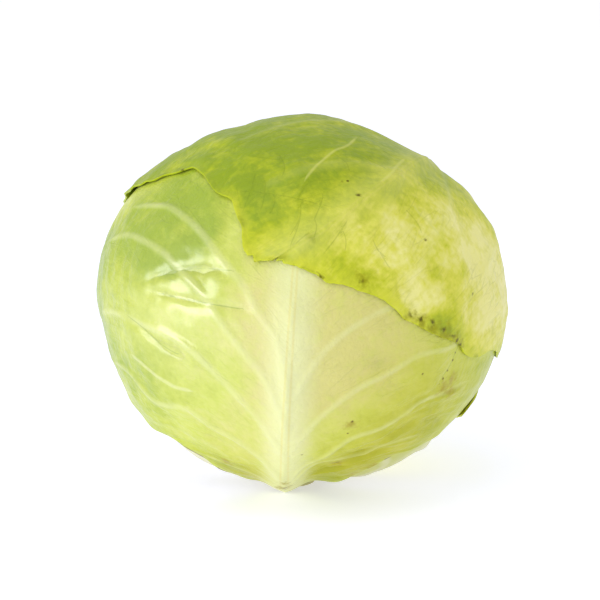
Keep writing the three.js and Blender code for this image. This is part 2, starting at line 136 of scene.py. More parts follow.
# %% A smooth curve through points
class Curve:
    """A curve through the points of a pattern, measured along its length."""

    def __init__(self, points, roughness=None):
        pts = np.asarray(points, float)
        ends = np.vstack([pts[:1], pts, pts[-1:]])
        t = np.linspace(0, 1, 24, endpoint=False)[:, None]
        spans = []
        for p0, p1, p2, p3 in zip(ends[:-3], ends[1:-2], ends[2:-1], ends[3:]):
            v0, v1 = (p2 - p0) / 2, (p3 - p1) / 2
            cubic = 2 * p1 - 2 * p2 + v0 + v1
            square = -3 * p1 + 3 * p2 - 2 * v0 - v1
            spans.append(cubic * t**3 + square * t**2 + v0 * t + p1)
        self.points = np.vstack(spans + [pts[-1:]])
        self.measure()
        if roughness is not None:
            self.points = roughness(self)
            self.measure()

    def measure(self):
        steps = np.linalg.norm(np.diff(self.points, axis=0), axis=1)
        self.lengths = np.concatenate([[0], np.cumsum(steps)])
        self.length = self.lengths[-1]

    def at(self, share):
        s = np.clip(share, 0, 1) * self.length
        return np.stack([np.interp(s, self.lengths, self.points[:, k]) for k in (0, 1)], -1)

    def tangent(self, share):
        step = self.at(share + 0.004) - self.at(share - 0.004)
        return step / np.maximum(np.linalg.norm(step, axis=-1, keepdims=True), 1e-9)


# %% The pattern of one leaf
class Pattern:
    """The flat pattern of a leaf: millimetres across and up from the leaf's centre."""

    def __init__(self, around, down):
        self.centre = direction(around, down)
        up = np.array([0, 0, 1.0])
        up -= up @ self.centre * self.centre
        self.up = up / np.linalg.norm(up)
        self.right = np.cross(self.up, self.centre)

    def flatten(self, dirs):
        x, y = dirs @ self.right, dirs @ self.up
        off = np.maximum(np.hypot(x, y), 1e-12)
        angle = np.arccos(np.clip(dirs @ self.centre, -1, 1)) * MEAN_RADIUS
        return np.stack([x / off * angle, y / off * angle], -1)

    def wrap(self, flat):
        off = np.maximum(np.linalg.norm(flat, axis=-1), 1e-12)
        angle = off / MEAN_RADIUS
        side = (flat[..., :1] * self.right + flat[..., 1:] * self.up) / off[..., None]
        return np.cos(angle)[..., None] * self.centre + np.sin(angle)[..., None] * side

    def draw(self, points, roughness=None):
        pts = np.asarray(points, float)
        return Curve(self.flatten(direction(pts[:, 0], pts[:, 1])), roughness)


# %% The outlines: a plain wrapper leaf, and the cap leaf with its ragged front edge
PLAIN_SIDE = [
    (30, 169), (36, 158), (40, 149), (43, 140), (51, 133), (65, 128), (80, 119), (93, 106),
    (101, 90), (105, 73), (111, 55), (124, 41), (148, 31), (180, 27),
]
RIB_FOOT, PLAIN_TIP = 169.5, 27
CAP_RIGHT = [
    (177, 169), (186, 158), (190, 148), (194, 139), (203, 131), (214, 122), (222, 108), (229, 93), (240, 79),
    (255, 67), (270, 61), (282, 56), (291, 52), (300, 48), (307, 45.5), (314, 46.5), (323, 50.5), (328, 53),
    (334, 54.5), (337, 58), (341, 63), (343, 68), (347, 70.5), (352, 70.5),
]
CAP_LEFT = [
    (117, 169), (108, 158), (102, 148), (98, 138), (94, 130), (87, 123.5), (77, 119.8), (78.5, 117), (88, 114),
    (95, 108), (93, 103.8), (85, 102.5), (80, 100.5), (75, 98.3), (70, 97.6), (64, 98.6), (59, 98.6), (54.5, 97),
    (51, 94), (41, 90.5), (31, 86), (26, 82.5), (20, 79), (16, 77.5),
    (12, 76.5), (6, 75), (-2, 72), (-8, 70.5),
]
CAP_RIB = [
    (147, 169.5), (146, 140), (144, 112), (140, 86), (130, 62), (112, 45), (75, 37), (42, 42), (22, 50),
    (6, 61), (-8, 70.5),
]


def plain_outline(around, widen, skew):
    """The two sides and the midrib of a common wrapper leaf, turned round the stem to its place."""

    def side(sign):
        points = []
        for off, down in PLAIN_SIDE:
            stretch = 1 + (widen - 1) * math.sin(math.pi * off / 180)
            points.append((around + sign * off * stretch + skew * off / 180, down))
        return points

    rib = [(around, RIB_FOOT), (around, 135), (around, 105), (around, 75), (around, 45), (around, 15)]
    rib += [(around + 180 + skew, 10), (around + 180 + skew, PLAIN_TIP)]
    return {"rib": rib, "right": side(1), "left": side(-1)}


# %% [markdown]
# The grid of a blade
#
# A leaf's own lines make the best mesh: columns run from the foot to the tip, and each row starts at the midrib
# and sweeps out to the margin the way a side vein does. The rows start close together near the foot and fan out,
# so creases and veins lie along the mesh and not across it. Margins are a little ragged, from a seeded draw.


# %% A leaf, ready to be asked for points
class Leaf:
    def __init__(self, name, around, centre_down, outline, veins, ragged, hanging_foot=False):
        self.name, self.veins, self.hanging_foot = name, veins, hanging_foot
        self.pattern = Pattern(around, centre_down)
        self.rib = self.pattern.draw(outline["rib"])
        self.smooth_sides = [self.pattern.draw(outline[s]) for s in ("right", "left")]
        rng = np.random.default_rng(hash_of(name))
        self.sides = [
            self.pattern.draw(outline[side], lambda curve, teeth=teeth: torn(curve, teeth, rng))
            for side, teeth in zip(("right", "left"), ragged)
        ]
        right, left = (side.at(np.linspace(0, 1, 61)) for side in self.smooth_sides)
        self.outline = np.vstack([right, left[::-1][1:]])
        self.margin_dirs = self.pattern.wrap(self.outline)
        self.rib_dirs = self.pattern.wrap(self.rib.at(np.linspace(0, 1, 41)))

    def point(self, side, v, u):
        """Points of the pattern on row v, from foot to tip, at share u across, from midrib to margin."""
        start, end = self.rib.at(v**FAN_POWER), self.sides[side].at(v)
        forward = self.rib.tangent(v**FAN_POWER)
        bend = np.linalg.norm(end - start, axis=-1) * FAN_SWEEP * (1 - v)
        middle = (start + end) / 2 + forward * bend[..., None]
        u = u[..., None]
        return (1 - u) ** 2 * start + 2 * u * (1 - u) * middle + u**2 * end


def hash_of(word):
    """A fixed number for a name, as a seed."""
    return sum((i + 1) * ord(c) for i, c in enumerate(word))


TEETH = ((9.0, 0.55), (3.5, 0.3), (1.6, 0.15))  # spacing and size in mm, coarse to fine


def torn(curve, teeth, rng):
    """A margin's points, moved in and out; teeth: shares of its length, and how large the teeth are there."""
    share = np.linspace(0, 1, 4 * len(curve.points))
    points = curve.at(share)
    across = curve.tangent(share)[:, ::-1] * [1, -1]
    shift = 0
    for spacing, size in TEETH:
        knots = rng.uniform(-1, 1, int(curve.length / spacing) + 2)
        shift = shift + size * np.interp(share * (len(knots) - 1), np.arange(len(knots)), knots)
    size = np.interp(share, *zip(*teeth)) * smooth(share, 0, 0.05) * smooth(1 - share, 0, 0.01)
    return points + across * (size * shift)[:, None]


# %% The five wrapper leaves, from the deepest out
EVEN = [[(0, 0.8), (1, 0.8)]] * 2
CAP_TEETH = [
    [(0, 1.0), (0.6, 0.7), (0.9, 0.4), (0.94, 2.8), (1, 2.8)], [(0, 1.2), (0.55, 0.9), (0.85, 1.4), (1, 2.4)],
]
LEAVES = [
    Leaf("left_leaf", -52.5, 76, plain_outline(-52.5, 0.9, 5), 5, EVEN),
    Leaf("right_leaf", 85, 76, plain_outline(85, 0.97, -4), 5, EVEN),
    Leaf("back_leaf", -137.5, 76, plain_outline(-137.5, 1.03, 2), 5, EVEN),
    Leaf("front_leaf", -2, 76, plain_outline(-2, 1.0, 0), 7, EVEN, hanging_foot=True),
    Leaf("cap_leaf", 142, 68, {"rib": CAP_RIB, "right": CAP_RIGHT, "left": CAP_LEFT}, 9, CAP_TEETH),
]
FRONT_LEAF, CAP_LEAF = LEAVES[3:]
for leaf in LEAVES:
    print(leaf.name, "is %.0f mm long on its midrib" % leaf.rib.length)

# %% [markdown]
# Layers
#
# Real leaves are wrapped over each other, so each one is draped over all that is below it: past the margin of a
# lower leaf it comes down to the next one, and a thick midrib below shows through as a soft ridge. The radius of
# a blade is therefore the heart's, plus every lower blade's thickness wherever that blade lies.


# %% How far every point is from a leaf's margin and midrib
def nearest(path, dirs, closed=False):
    """Distance in mm from each direction to a path of directions, and how far along the path it is."""
    a = path
    b = np.roll(path, -1, 0) if closed else path[1:]
    a = a[: len(b)]
    span = b - a
    square = (span**2).sum(1)
    distance, along = np.empty(len(dirs)), np.empty(len(dirs))
    for i in range(0, len(dirs), 4096):
        reach = dirs[i : i + 4096, None, :] - a
        share = np.clip((reach * span).sum(-1) / square, 0, 1)
        gaps = np.linalg.norm(reach - share[..., None] * span, axis=-1)
        best = gaps.argmin(1)
        rows = np.arange(len(best))
        distance[i : i + 4096] = gaps[rows, best] * MEAN_RADIUS
        along[i : i + 4096] = (best + share[rows, best]) / len(b)
    return distance, along


def past_margin(leaf, dirs):
    """Distance past a leaf's margin in mm, negative on its blade."""
    distance, _ = nearest(leaf.margin_dirs, dirs, closed=True)
    flat = leaf.pattern.flatten(dirs)
    a, b = leaf.outline, np.roll(leaf.outline, 1, 0)
    inside = np.zeros(len(dirs), bool)
    for (ax, ay), (bx, by) in zip(a, b):
        if ay == by:
            continue
        crosses = ((ay > flat[:, 1]) != (by > flat[:, 1])) & (
            flat[:, 0] < (bx - ax) * (flat[:, 1] - ay) / (by - ay) + ax
        )
        inside ^= crosses
    return np.where(inside, -distance, distance)


def rib_height(leaf, dirs):
    distance, along = nearest(leaf.rib_dirs, dirs)
    foot = FOOT_HEIGHT * np.exp(-((along / FOOT_SHARE) ** 2)) if leaf.hanging_foot else 0
    height = RIB_BASE + (RIB_TIP - RIB_BASE) * along**0.7 + foot
    width = RIB_BASE_WIDTH + (RIB_TIP_WIDTH - RIB_BASE_WIDTH) * along
    return height * np.exp(-((distance / width) ** 2))


# %% The layers below and above a leaf
def layers(index, dirs):
    """Radius of a leaf's underside, its midrib's height, and how free it lies: 1 with nothing over it."""
    covers = [1 - smooth(past_margin(leaf, dirs), DRAPE_START, DRAPE_END) for leaf in LEAVES]
    free = [np.ones(len(dirs))]
    for cover in covers[:0:-1]:
        free.insert(0, free[0] * (1 - cover))
    ribs = []
    for leaf, loose in zip(LEAVES[: index + 1], free):
        ribs.append(rib_height(leaf, dirs) * (RIB_PRESSED + (1 - RIB_PRESSED) * loose))
    radius = heart_radius(dirs) + GAP
    for cover, rib in zip(covers[:index], ribs):
        radius += cover * (BLADE + rib + GAP)
    return radius, ribs[index], free[index]


# %% Fill a coarse table of values in to a fine one
def refine(table, rows, columns):
    """Smooth cubic filling of a table to more rows and columns."""

    def along(values, count):
        n = len(values)
        x = np.linspace(0, n - 1, count)
        i = np.clip(x.astype(int), 0, n - 2)
        t = (x - i).reshape(-1, *[1] * (values.ndim - 1))
        p = [values[np.clip(i + k, 0, n - 1)] for k in (-1, 0, 1, 2)]
        v0, v1 = (p[2] - p[0]) / 2, (p[3] - p[1]) / 2
        return (2 * p[1] - 2 * p[2] + v0 + v1) * t**3 + (-3 * p[1] + 3 * p[2] - 2 * v0 - v1) * t**2 + v0 * t + p[1]

    return along(along(table, rows).swapaxes(0, 1), columns).swapaxes(0, 1)

# %% [markdown]
# Veins and creases
#
# The side veins of a wrapper leaf leave the midrib in a fan and stand up on the outside of the head. Those of the
# front leaf, and the fine pale and dark lines that a viewer sees on it and on the cap leaf, are lists of points.
# These were chosen by eye on a photograph and turned into the two angles by a small program that knew the camera
# and the oval; where a line runs out of sight, its last points are a guess. Every other leaf gets its side veins by
# rule, along the rows of its own grid. A vein is a soft ridge that gets thinner as it goes, and a crease is a vein
# with a height below zero.

# %% Veins and creases whose points are listed, as around and down
FRONT_VEINS = [
    [(-2, 112), (-4.7, 94), (-11.4, 84.7), (-16.8, 77.4), (-22.6, 72.6), (-29.6, 67), (-36.8, 63), (-45.7, 60.2),
     (-52, 59.2), (-66, 61.4), (-80, 66), (-92, 72)],
    [(-2, 118), (-8, 104), (-16.8, 93.8), (-25.1, 84.4), (-29.9, 80.2), (-36.3, 76.6), (-42.7, 72.8), (-50.8, 71),
     (-64.3, 70.5), (-80, 76), (-95, 84)],
    [(-3, 130), (-10, 118), (-17, 110), (-24, 103), (-31, 97), (-39.5, 94), (-49, 93), (-62, 92), (-80, 96),
     (-92, 100)],
    [(-4, 146), (-12, 135), (-20, 128), (-28.7, 123), (-32.8, 119.6), (-37, 116.7), (-43, 116.8), (-49, 116),
     (-53.7, 112), (-59, 108.6), (-72, 108), (-86, 111)],
    [(-6, 156), (-20, 148), (-34, 142), (-48, 135)],
    [(0, 150), (5, 142), (11.8, 133.6), (20, 123), (29.6, 118.8), (36.6, 114), (40.6, 110.6), (50, 108.6),
     (62, 106), (80, 106)],
    [(0, 128), (8, 115), (18, 105), (25.6, 101), (35.7, 95.5), (45.6, 94.6), (60, 92), (80, 94)],
    [(0, 108), (6, 96), (14, 88), (26, 82), (40, 80), (60, 82)],
    [(3, 152), (14, 136.7), (30, 132), (35, 128), (50, 124), (64, 122)],
]
FRONT_THREADS = [
    [(-21, 113), (-26.6, 111), (-33, 110), (-38.8, 109), (-46, 106), (-52, 103), (-62, 101)],
]
FRONT_CREASES = [
    [(-15, 73.4), (-19, 74.4), (-31, 75), (-41.8, 78.2), (-52, 83)],
    [(-11.4, 84.7), (-26, 84), (-37.7, 83.7), (-49.4, 83.2)],
    [(-30, 101), (-40, 98), (-50, 93), (-60, 91)],
]
FRONT_FOLDS = [
    [(22, 86.5), (26.1, 87.8), (34, 89.7), (41.1, 92.6), (47.9, 93.9)],
    [(20, 131), (34, 126), (46, 119), (56, 113)],
]
CRACK = [(52, 91), (50.4, 96), (49, 100), (46.5, 103.5), (44.5, 107)]
CAP_PALE = [
    [(74.9, 18.4), (27.1, 27.2), (14.8, 31.2), (5.5, 37.7), (-0.2, 44.1), (-2.5, 49.4), (-4.8, 56.1)],
    [(73.1, 34.2), (48.6, 37.8), (39.7, 41.3), (30.1, 45), (21.7, 47.1)],
    [(42.3, 48.3), (41.9, 55.1), (45.1, 60.8), (48.5, 66.9)],
]
CAP_THREADS = [
    [(-30.2, 52.4), (-22.3, 51.1), (-7.6, 51.1), (3, 52.4), (11.5, 54.1), (17, 56.5)],
    [(-31.9, 37.7), (-20.6, 37.3), (-7.1, 37.5)],
    [(-16, 45.3), (-14.6, 54.4), (-15.9, 59.6)],
    [(-20, 47.2), (-20.5, 57.5), (-20.9, 60.4)],
    [(-1.8, 53.4), (-2, 58.4), (-5.6, 65.7)],
    [(2.5, 61.2), (-1, 64.3), (-3.7, 67.3)],
    [(15.3, 56.2), (9.2, 63.8), (3.9, 70.2)],
    [(-16.8, 33), (-9.9, 40.8), (-11.2, 47.9)],
    [(21, 63.6), (24.5, 69.8), (26.6, 73.3)],
    [(6.8, 47.5), (5, 53.3), (1.8, 60)],
    [(27.8, 33.5), (36.6, 36.9), (39.7, 41.3)],
    [(73.1, 55.9), (72.5, 59.2), (72.3, 62.7)],
    [(-14.3, 49.2), (-11, 52.1), (-11.1, 56), (-12.9, 59.9)],
    [(-2.2, 50.4), (-1.6, 57.6), (-3.8, 66.2), (-5.3, 70.7)],
    [(-27, 48.8), (-23.6, 53.3), (-20, 59.1)],
    [(2.4, 56.3), (3.7, 60.5), (2, 65.8)],
    [(11.1, 58.5), (12.8, 63.7), (11.7, 68.8)],
    [(-21.4, 42.7), (-20.5, 48), (-17, 53.3)],
    [(12.4, 31.2), (18.5, 37.3), (19.1, 42.6)],
    [(21.2, 62.5), (22.5, 66.4), (26.4, 69.8)],
    [(36.4, 53.2), (39.3, 58.7), (39.2, 64.1)],
]


# %% One line of relief: its path, its height and its half width from start to end, in millimetres
def line(points, height, width):
    flat = FRONT_LEAF.pattern
    return flat.wrap(flat.draw(points).at(np.linspace(0, 1, 33))), height, width


def ruled_veins(leaf, height, width):
    """The veins of a leaf by rule: one each side along evenly spaced rows."""
    lines = []
    for i in range(leaf.veins):
        v = np.full(25, (i + 0.7) / leaf.veins)
        for side in (0, 1):
            path = leaf.pattern.wrap(leaf.point(side, v, np.linspace(0.02, 0.97, 25)))
            rise = float(smooth(v[0], 0, 0.35))
            lines.append((path, (height[0] * rise, height[1] * rise), width))
    return lines


FAR = 6.0  # what "off the line" is at most, in half widths
LINE_REACH = 0.35  # points further from a line than this angle, in radians, aren't measured


def ridges(lines, dirs, taper=0.001):
    """How high all these lines stand, how many half widths off the nearest one is, and on which side of it."""
    height, off, side = np.zeros(len(dirs)), np.full(len(dirs), FAR), np.ones(len(dirs))
    for path, (h0, h1), (w0, w1) in lines:
        near = np.flatnonzero(np.max(dirs @ path[::4].T, 1) > math.cos(LINE_REACH))
        distance, along = nearest(path, dirs[near])
        widths = distance / (w0 + (w1 - w0) * along)
        fade = smooth(along, -0.001, taper) * (1 - smooth(along, 0.75, 1))
        rise = (h0 + (h1 - h0) * along) * np.exp(-(widths**2)) * fade
        height[near] = np.where(np.abs(rise) > np.abs(height[near]), rise, height[near])
        start = np.minimum((along * (len(path) - 1)).astype(int), len(path) - 2)
        turn = np.sign((np.cross(path[start], path[start + 1]) * dirs[near]).sum(1))
        side[near] = np.where(widths + FAR * (1 - fade) < off[near], turn, side[near])
        off[near] = np.minimum(off[near], widths + FAR * (1 - fade))
    return height, off, side


# %% All the lines of each leaf; the front leaf's first five veins, those on its left, stand higher than the others
VEINS = {
    "front_leaf": [line(p, (0.85, 0.45), (2.0, 1.0)) for p in FRONT_VEINS[:5]]
    + [line(p, (0.5, 0.3), (1.5, 0.8)) for p in FRONT_VEINS[5:]],
    "cap_leaf": ruled_veins(CAP_LEAF, (0.7, 0.15), (2.6, 1.3)),
}
for leaf in LEAVES[:3]:
    VEINS[leaf.name] = ruled_veins(leaf, (1.5, 0.5), (2.8, 1.6))
# Fine lines: pale ones stand up a little, dark ones lie in a fold. On the front leaf the dark lines, besides its
# crack, are its creases, painted dark as shade in their folds.
PALE_LINES = {"cap_leaf": [line(p, (0.3, 0.2), (1.0, 0.7)) for p in CAP_PALE]}
PALE_LINES["front_leaf"] = [line(p, (0.45, 0.3), (1.2, 0.9)) for p in FRONT_THREADS]
DARK_LINES = {"cap_leaf": [line(p, (-0.12, -0.08), (1.0, 1.0)) for p in CAP_THREADS]}
DARK_LINES["front_leaf"] = [line(p, (-0.7, -0.5), (1.1, 1.0)) for p in [CRACK] + FRONT_CREASES]
FOLDS = {
    "front_leaf": [line(p, (-0.9, -0.6), (3.2, 2.4)) for p in FRONT_CREASES]
    + [line(p, (0.8, 0.6), (3.0, 2.5)) for p in FRONT_FOLDS]
}
print({name: len(lines) for name, lines in VEINS.items()}, "side veins")

# %% [markdown]
# Blisters and pleats
#
# Between its veins a leaf grows faster than they do and bulges into shallow blisters. A sum of many weak waves in
# random directions, from a fixed seed, gives such an even, quiet unrest. The right half of the front leaf is also
# gathered in long pleats beside its veins, which are the same waves, drawn out along the leaf's rows.


# %% Shallow unrest at one wavelength
def waves(points, wavelength, seed, count=28):
    """A seeded field with a spread of about 1, from points in millimetres."""
    rng = np.random.default_rng(seed)
    turns = rng.normal(size=(count, 3))
    turns *= 2 * np.pi / wavelength * rng.uniform(0.7, 1.3, (count, 1)) / np.linalg.norm(turns, axis=1, keepdims=True)
    return np.cos(points @ turns.T + rng.uniform(0, 2 * np.pi, count)).sum(1) / math.sqrt(count / 2)


BLISTERS = {  # wavelength and height in mm, broad and fine
    "front_leaf": ((24, 0.30), (9, 0.11)),
    "cap_leaf": ((22, 0.22), (9, 0.08)),
}
PLAIN_BLISTERS = ((20, 0.25), (9, 0.08))
PLEATS = ((0.55, 22, 2.4, 5), (0.165, 8, 3, 6))  # height, wavelength, how many times longer than wide, and seed

# %% [markdown]
# The blades
#
# Every blade is an outer sheet with all the detail and an inner sheet of a third of its rows and columns, closed
# round the margin. The slow fields, such as the layers below, are worked out on a coarse grid and filled in; the
# fast ones, such as veins, are worked out at every point.

# %% The size of each grid: rows, and columns from midrib to margin; each is a multiple of 12, plus 1
GRIDS = {"cap_leaf": (289, 133), "front_leaf": (277, 133)}
PLAIN_GRID = (157, 73)
COARSE = 4
TIP_ROW = 0.996


def blade_grid(leaf, rows, columns):
    """The pattern's points, row by row, from the left margin over the midrib to the right one."""
    v, u = np.meshgrid(np.linspace(0, TIP_ROW, rows), np.linspace(0, 1, columns), indexing="ij")
    left, right = leaf.point(1, v, u), leaf.point(0, v, u)
    return np.concatenate([left[:, :0:-1], right], 1), v, u


def ruffle(leaf, index, near, along):
    """The waved margin: a height in mm that falls off in the first 13 mm of the blade."""
    count = round(2 * leaf.smooth_sides[0].length / RUFFLE_SPACING)
    wave = 0.5 + 0.32 * np.sin(2 * np.pi * count * along) + 0.18 * np.sin(6.3 * count * along + index)
    return RUFFLE_HEIGHT * wave * np.maximum(0, 1 - near / RUFFLE_REACH) ** 2


# %% The cap leaf's own margin: it lies close on the leaves below, and curls up at the upper left
ROLL_HEIGHT, ROLL_REACH = 0.5, 1.5
PRESSED, PRESSED_REACH = 0.45, 5.0


def cap_margin(waved, near, across, reach):
    """The waved margin of the cap leaf, calmer and pressed down where it shows in front, with a curled rim."""
    left = across < 0
    lies_on = np.where(left, smooth(reach, 0.12, 0.2), smooth(reach, 0.5, 0.7))
    calm = 1 - lies_on * np.where(left, 0.7 + 0.22 * smooth(reach, 0.75, 0.6), 0.75)
    curl = ROLL_HEIGHT * np.exp(-((near / ROLL_REACH) ** 2)) * (across > 0) * smooth(reach, 0.6, 0.75)
    return waved * calm + curl, PRESSED * np.exp(-((near / PRESSED_REACH) ** 2)) * lies_on


# %% Lengths along the rows
def measure_rows(flat, across, reach, length):
    """How far each point is from its row's margin in mm, and its place along the leaf's rows in metres."""
    rows, wide = flat.shape[:2]
    steps = np.linalg.norm(np.diff(flat, axis=1), axis=2)
    from_rib = np.concatenate([np.zeros((rows, 1)), np.cumsum(steps, 1)], 1)
    from_rib = from_rib - from_rib[:, wide // 2 : wide // 2 + 1]
    to_edge = np.where(across.reshape(rows, wide) < 0, from_rib - from_rib[:, :1], from_rib[:, -1:] - from_rib)
    flow = np.stack([reach * length, from_rib.ravel(), 0 * reach], -1) * MM
    return to_edge.ravel(), flow


# %% One blade
CREST_HEIGHT, CREST_WIDTH = 0.4, 1.3  # a sharper line on the midrib


def blade(index):
    """Inner and outer points of a blade, with what its materials need to know of them."""
    leaf = LEAVES[index]
    rows, columns = GRIDS.get(leaf.name, PLAIN_GRID)
    flat, v, u = blade_grid(leaf, rows, columns)
    wide = 2 * columns - 1
    dirs = leaf.pattern.wrap(flat).reshape(-1, 3)
    coarse = dirs.reshape(rows, wide, 3)[::COARSE, ::COARSE]
    few = coarse.reshape(-1, 3)
    fields = np.stack([*layers(index, few), -past_margin(leaf, few)], -1)
    under, rib, free, near = refine(fields.reshape(*coarse.shape[:2], 4), rows, wide).reshape(-1, 4).T
    free, near = np.clip(free, 0, 1), np.maximum(near, 0)

    across = np.concatenate([-u[:, :0:-1], u], 1).ravel()
    reach = np.concatenate([v[:, :0:-1], v], 1).ravel()
    along = np.where(across > 0, reach / 2, 1 - reach / 2)
    waved, pressed = ruffle(leaf, index, near, along), 0
    if leaf is CAP_LEAF:
        waved, pressed = cap_margin(waved, near, across, reach)
    under = under + waved * free - pressed

    height, vein, _ = ridges(VEINS[leaf.name], dirs)
    pale_height, pale, _ = ridges(PALE_LINES.get(leaf.name, []), dirs, taper=0.3)
    # Dark lines lie in shallow grooves; along the front leaf's creases their dark paint is painted shade.
    dark_height, dark, side = ridges(DARK_LINES.get(leaf.name, []), dirs, taper=0.15)
    fold_height = ridges(FOLDS.get(leaf.name, []), dirs, taper=0.3)[0]
    rib_off, _ = nearest(leaf.rib_dirs, dirs)
    crest = CREST_HEIGHT * np.exp(-((rib_off / CREST_WIDTH) ** 2)) * smooth(1 - reach, 0, 0.3)
    raised = height + pale_height + dark_height + fold_height + crest

    points = dirs * MEAN_RADIUS
    (long, high), (short, low) = BLISTERS.get(leaf.name, PLAIN_BLISTERS)
    unrest = high * waves(points, long, 11 + index) + low * waves(points, short, 31 + index)
    to_edge, flow = measure_rows(flat, across, reach, leaf.smooth_sides[0].length)
    if leaf is FRONT_LEAF:
        where = smooth(across, 0.15, 0.45) * free * smooth(near, 4, 16)
        for size, spacing, stretch, seed in PLEATS:
            unrest = unrest + size * waves(flow / MM / [1, stretch, 1], spacing, seed) * where
    # The unrest fades where a leaf lies on top, and beside the margin, the veins and the midrib.
    quiet = (0.35 + 0.65 * free) * smooth(near, 0, 6) * smooth(vein, 0, 2) * (0.3 + 0.7 * smooth(rib_off, 0, 30))
    thickness = BLADE + (BLADE_MARGIN - BLADE) * np.abs(across) ** 6
    outer = under + thickness + rib + raised * free + unrest * quiet
    return {
        "grid": (rows, wide), "dirs": dirs, "under": under, "outer": outer, "near": near, "across": across,
        "reach": reach, "free": free, "rib": rib / RIB_BASE, "vein": vein, "pale": pale, "dark": dark,
        "thread": dark * side, "rib_off": rib_off, "edge": to_edge, "flow": flow,
    }


# %% Turn a blade into a closed mesh
def shell(sheet):
    """Points and faces of a blade: outer sheet, inner sheet and rim."""
    rows, wide = sheet["grid"]
    outer = place(sheet["dirs"], sheet["outer"])
    inner_rows, inner_cols = np.arange(0, rows, 3), np.arange(0, wide, 3)
    pick = (inner_rows[:, None] * wide + inner_cols).ravel()
    inner = place(sheet["dirs"][pick], sheet["under"][pick])
    outer, inner = (np.clip(sheet_points, *np.array(cad_box)) for sheet_points in (outer, inner))

    def quads(r, c, first=0, flip=False):
        a = (np.arange(r - 1)[:, None] * c + np.arange(c - 1)).ravel() + first
        faces = np.stack([a, a + 1, a + c + 1, a + c], -1)
        return (faces[:, ::-1] if flip else faces).tolist()

    r, c, first = len(inner_rows), len(inner_cols), len(outer)
    faces = quads(rows, wide) + quads(r, c, first, flip=True)
    # The rim: each edge of the inner sheet meets three edges of the outer one.
    def rim(outer_at, inner_at, count, flip):
        for k in range(count - 1):
            face = [outer_at(3 * k + j) for j in range(4)] + [inner_at(k + 1), inner_at(k)]
            faces.append(face[::-1] if flip else face)

    rim(lambda k: k, lambda k: first + k, c, True)
    rim(lambda k: (rows - 1) * wide + k, lambda k: first + (r - 1) * c + k, c, False)
    rim(lambda k: k * wide, lambda k: first + k * c, r, False)
    rim(lambda k: k * wide + wide - 1, lambda k: first + k * c + c - 1, r, True)
    return np.vstack([outer, inner]), faces, pick


def new_piece(name, points, faces, marks, sharp=55):
    """An object from points and faces, with smooth shading and named values at its points."""
    mesh = bpy.data.meshes.new(name)
    mesh.from_pydata(points.tolist(), [], faces)
    mesh.polygons.foreach_set("use_smooth", [True] * len(mesh.polygons))
    mesh.set_sharp_from_angle(angle=math.radians(sharp))
    for title, values in marks.items():
        kind, field = ("FLOAT", "value") if np.ndim(values) == 1 else ("FLOAT_VECTOR", "vector")
        mesh.attributes.new(title, kind, "POINT").data.foreach_set(field, np.float32(values).ravel())
    piece = bpy.data.objects.new(name, mesh)
    bpy.context.scene.collection.objects.link(piece)
    return piece


def outward(points, faces, dirs):
    """True where the first face looks away from the middle of the head."""
    a, b, c = (points[k] for k in faces[0][:3])
    return np.dot(np.cross(b - a, c - a), dirs[faces[0][0]]) > 0

# %% [markdown]
# Where a leaf is green
#
# A cabbage leaf is cream at its foot, along its midrib and wherever another leaf kept the light off it, and
# greener towards its tip and margin. One number at each point, 0 for cream and 1 for full green, holds that, and
# a few soft spots lighten or deepen it as on the real head. On the front leaf, the spots that deepen it beside the
# cap leaf's margin are painted shade, and the one low on the right is partly painted shade. Three more numbers say
# where the flesh has ripened to yellow, where the wax is still thick and shines, and where the margin is lime
# rather than plain.

# %% Soft spots: around, down and reach in degrees, and how much greener, riper or more waxy
SPOTS = {
    "front_leaf": [
        # Painted shade: the spots at (-46, 53) and (-30, 62) deepen the green beside the cap leaf's margin, and the
        # one at (28, 126), low on the right, is partly painted shade as well.
        (-46, 53, 17, 0.80), (-66, 66, 13, 0.45), (-52, 76, 9, 0.35), (28, 126, 22, 0.48), (66, 106, 22, 0.34),
        (-88, 90, 20, 0.60), (2, 92, 22, -0.15), (-38, 96, 26, 0.18), (-40, 116, 16, 0.08), (8, 142, 12, -0.08),
        (-62, 128, 14, 0.26), (-33, 78, 10, 0.16), (30, 150, 20, 0.45), (-30, 150, 12, 0.55), (-30, 62, 10, 0.45),
        (-43, 74, 9, 0.30), (-72, 108, 16, 0.20), (-26, 85, 8, 0.14), (40, 118, 12, 0.10),
        (-40, 90, 16, 0.20), (-30, 148, 9, 0.25), (-84, 80, 14, 0.30), (-48, 108, 14, 0.12),
        (-86, 104, 14, 0.20),
    ],
    "cap_leaf": [
        (68, 80, 24, -0.95), (30, 62, 12, -0.50), (50, 58, 17, -0.34), (95, 60, 30, -0.15), (-20, 66, 18, -0.10),
        (34, 82, 9, -0.65), (150, 120, 45, -0.45), (-60, 40, 30, 0.08), (5, 62, 14, -0.28), (8, 69, 12, -0.28),
        (24, 74, 10, -0.30), (-15, 46, 9, 0.14), (-10, 66, 8, -0.12), (-50, 50, 12, 0.20), (5, 48, 12, -0.12),
        (54, 73, 3, 0.35), (62, 76, 4, 0.35), (40, 73.5, 3, 0.3), (47, 66, 3, 0.25), (68, 70, 4, 0.25),
        (47, 92, 5, 0.40), (40, 88.5, 5, 0.35), (0, 60, 10, 0.10), (-32, 44, 12, 0.12),
    ],
    "right_leaf": [(50, 142, 26, 0.75)],
    "ripe front_leaf": [
        (45, 116, 26, 0.40), (30, 142, 18, 0.45), (-30, 150, 14, 0.40), (25, 95, 25, 0.12), (-8, 156, 12, 0.25),
    ],
    "ripe cap_leaf": [(60, 88, 18, 0.12)],
    "ripe right_leaf": [(50, 142, 26, 0.40)],
    "wax front_leaf": [(-34, 86, 32, 1.0)],
}
LEAST_WAX, LEAST_LIME = 0.06, 0.15


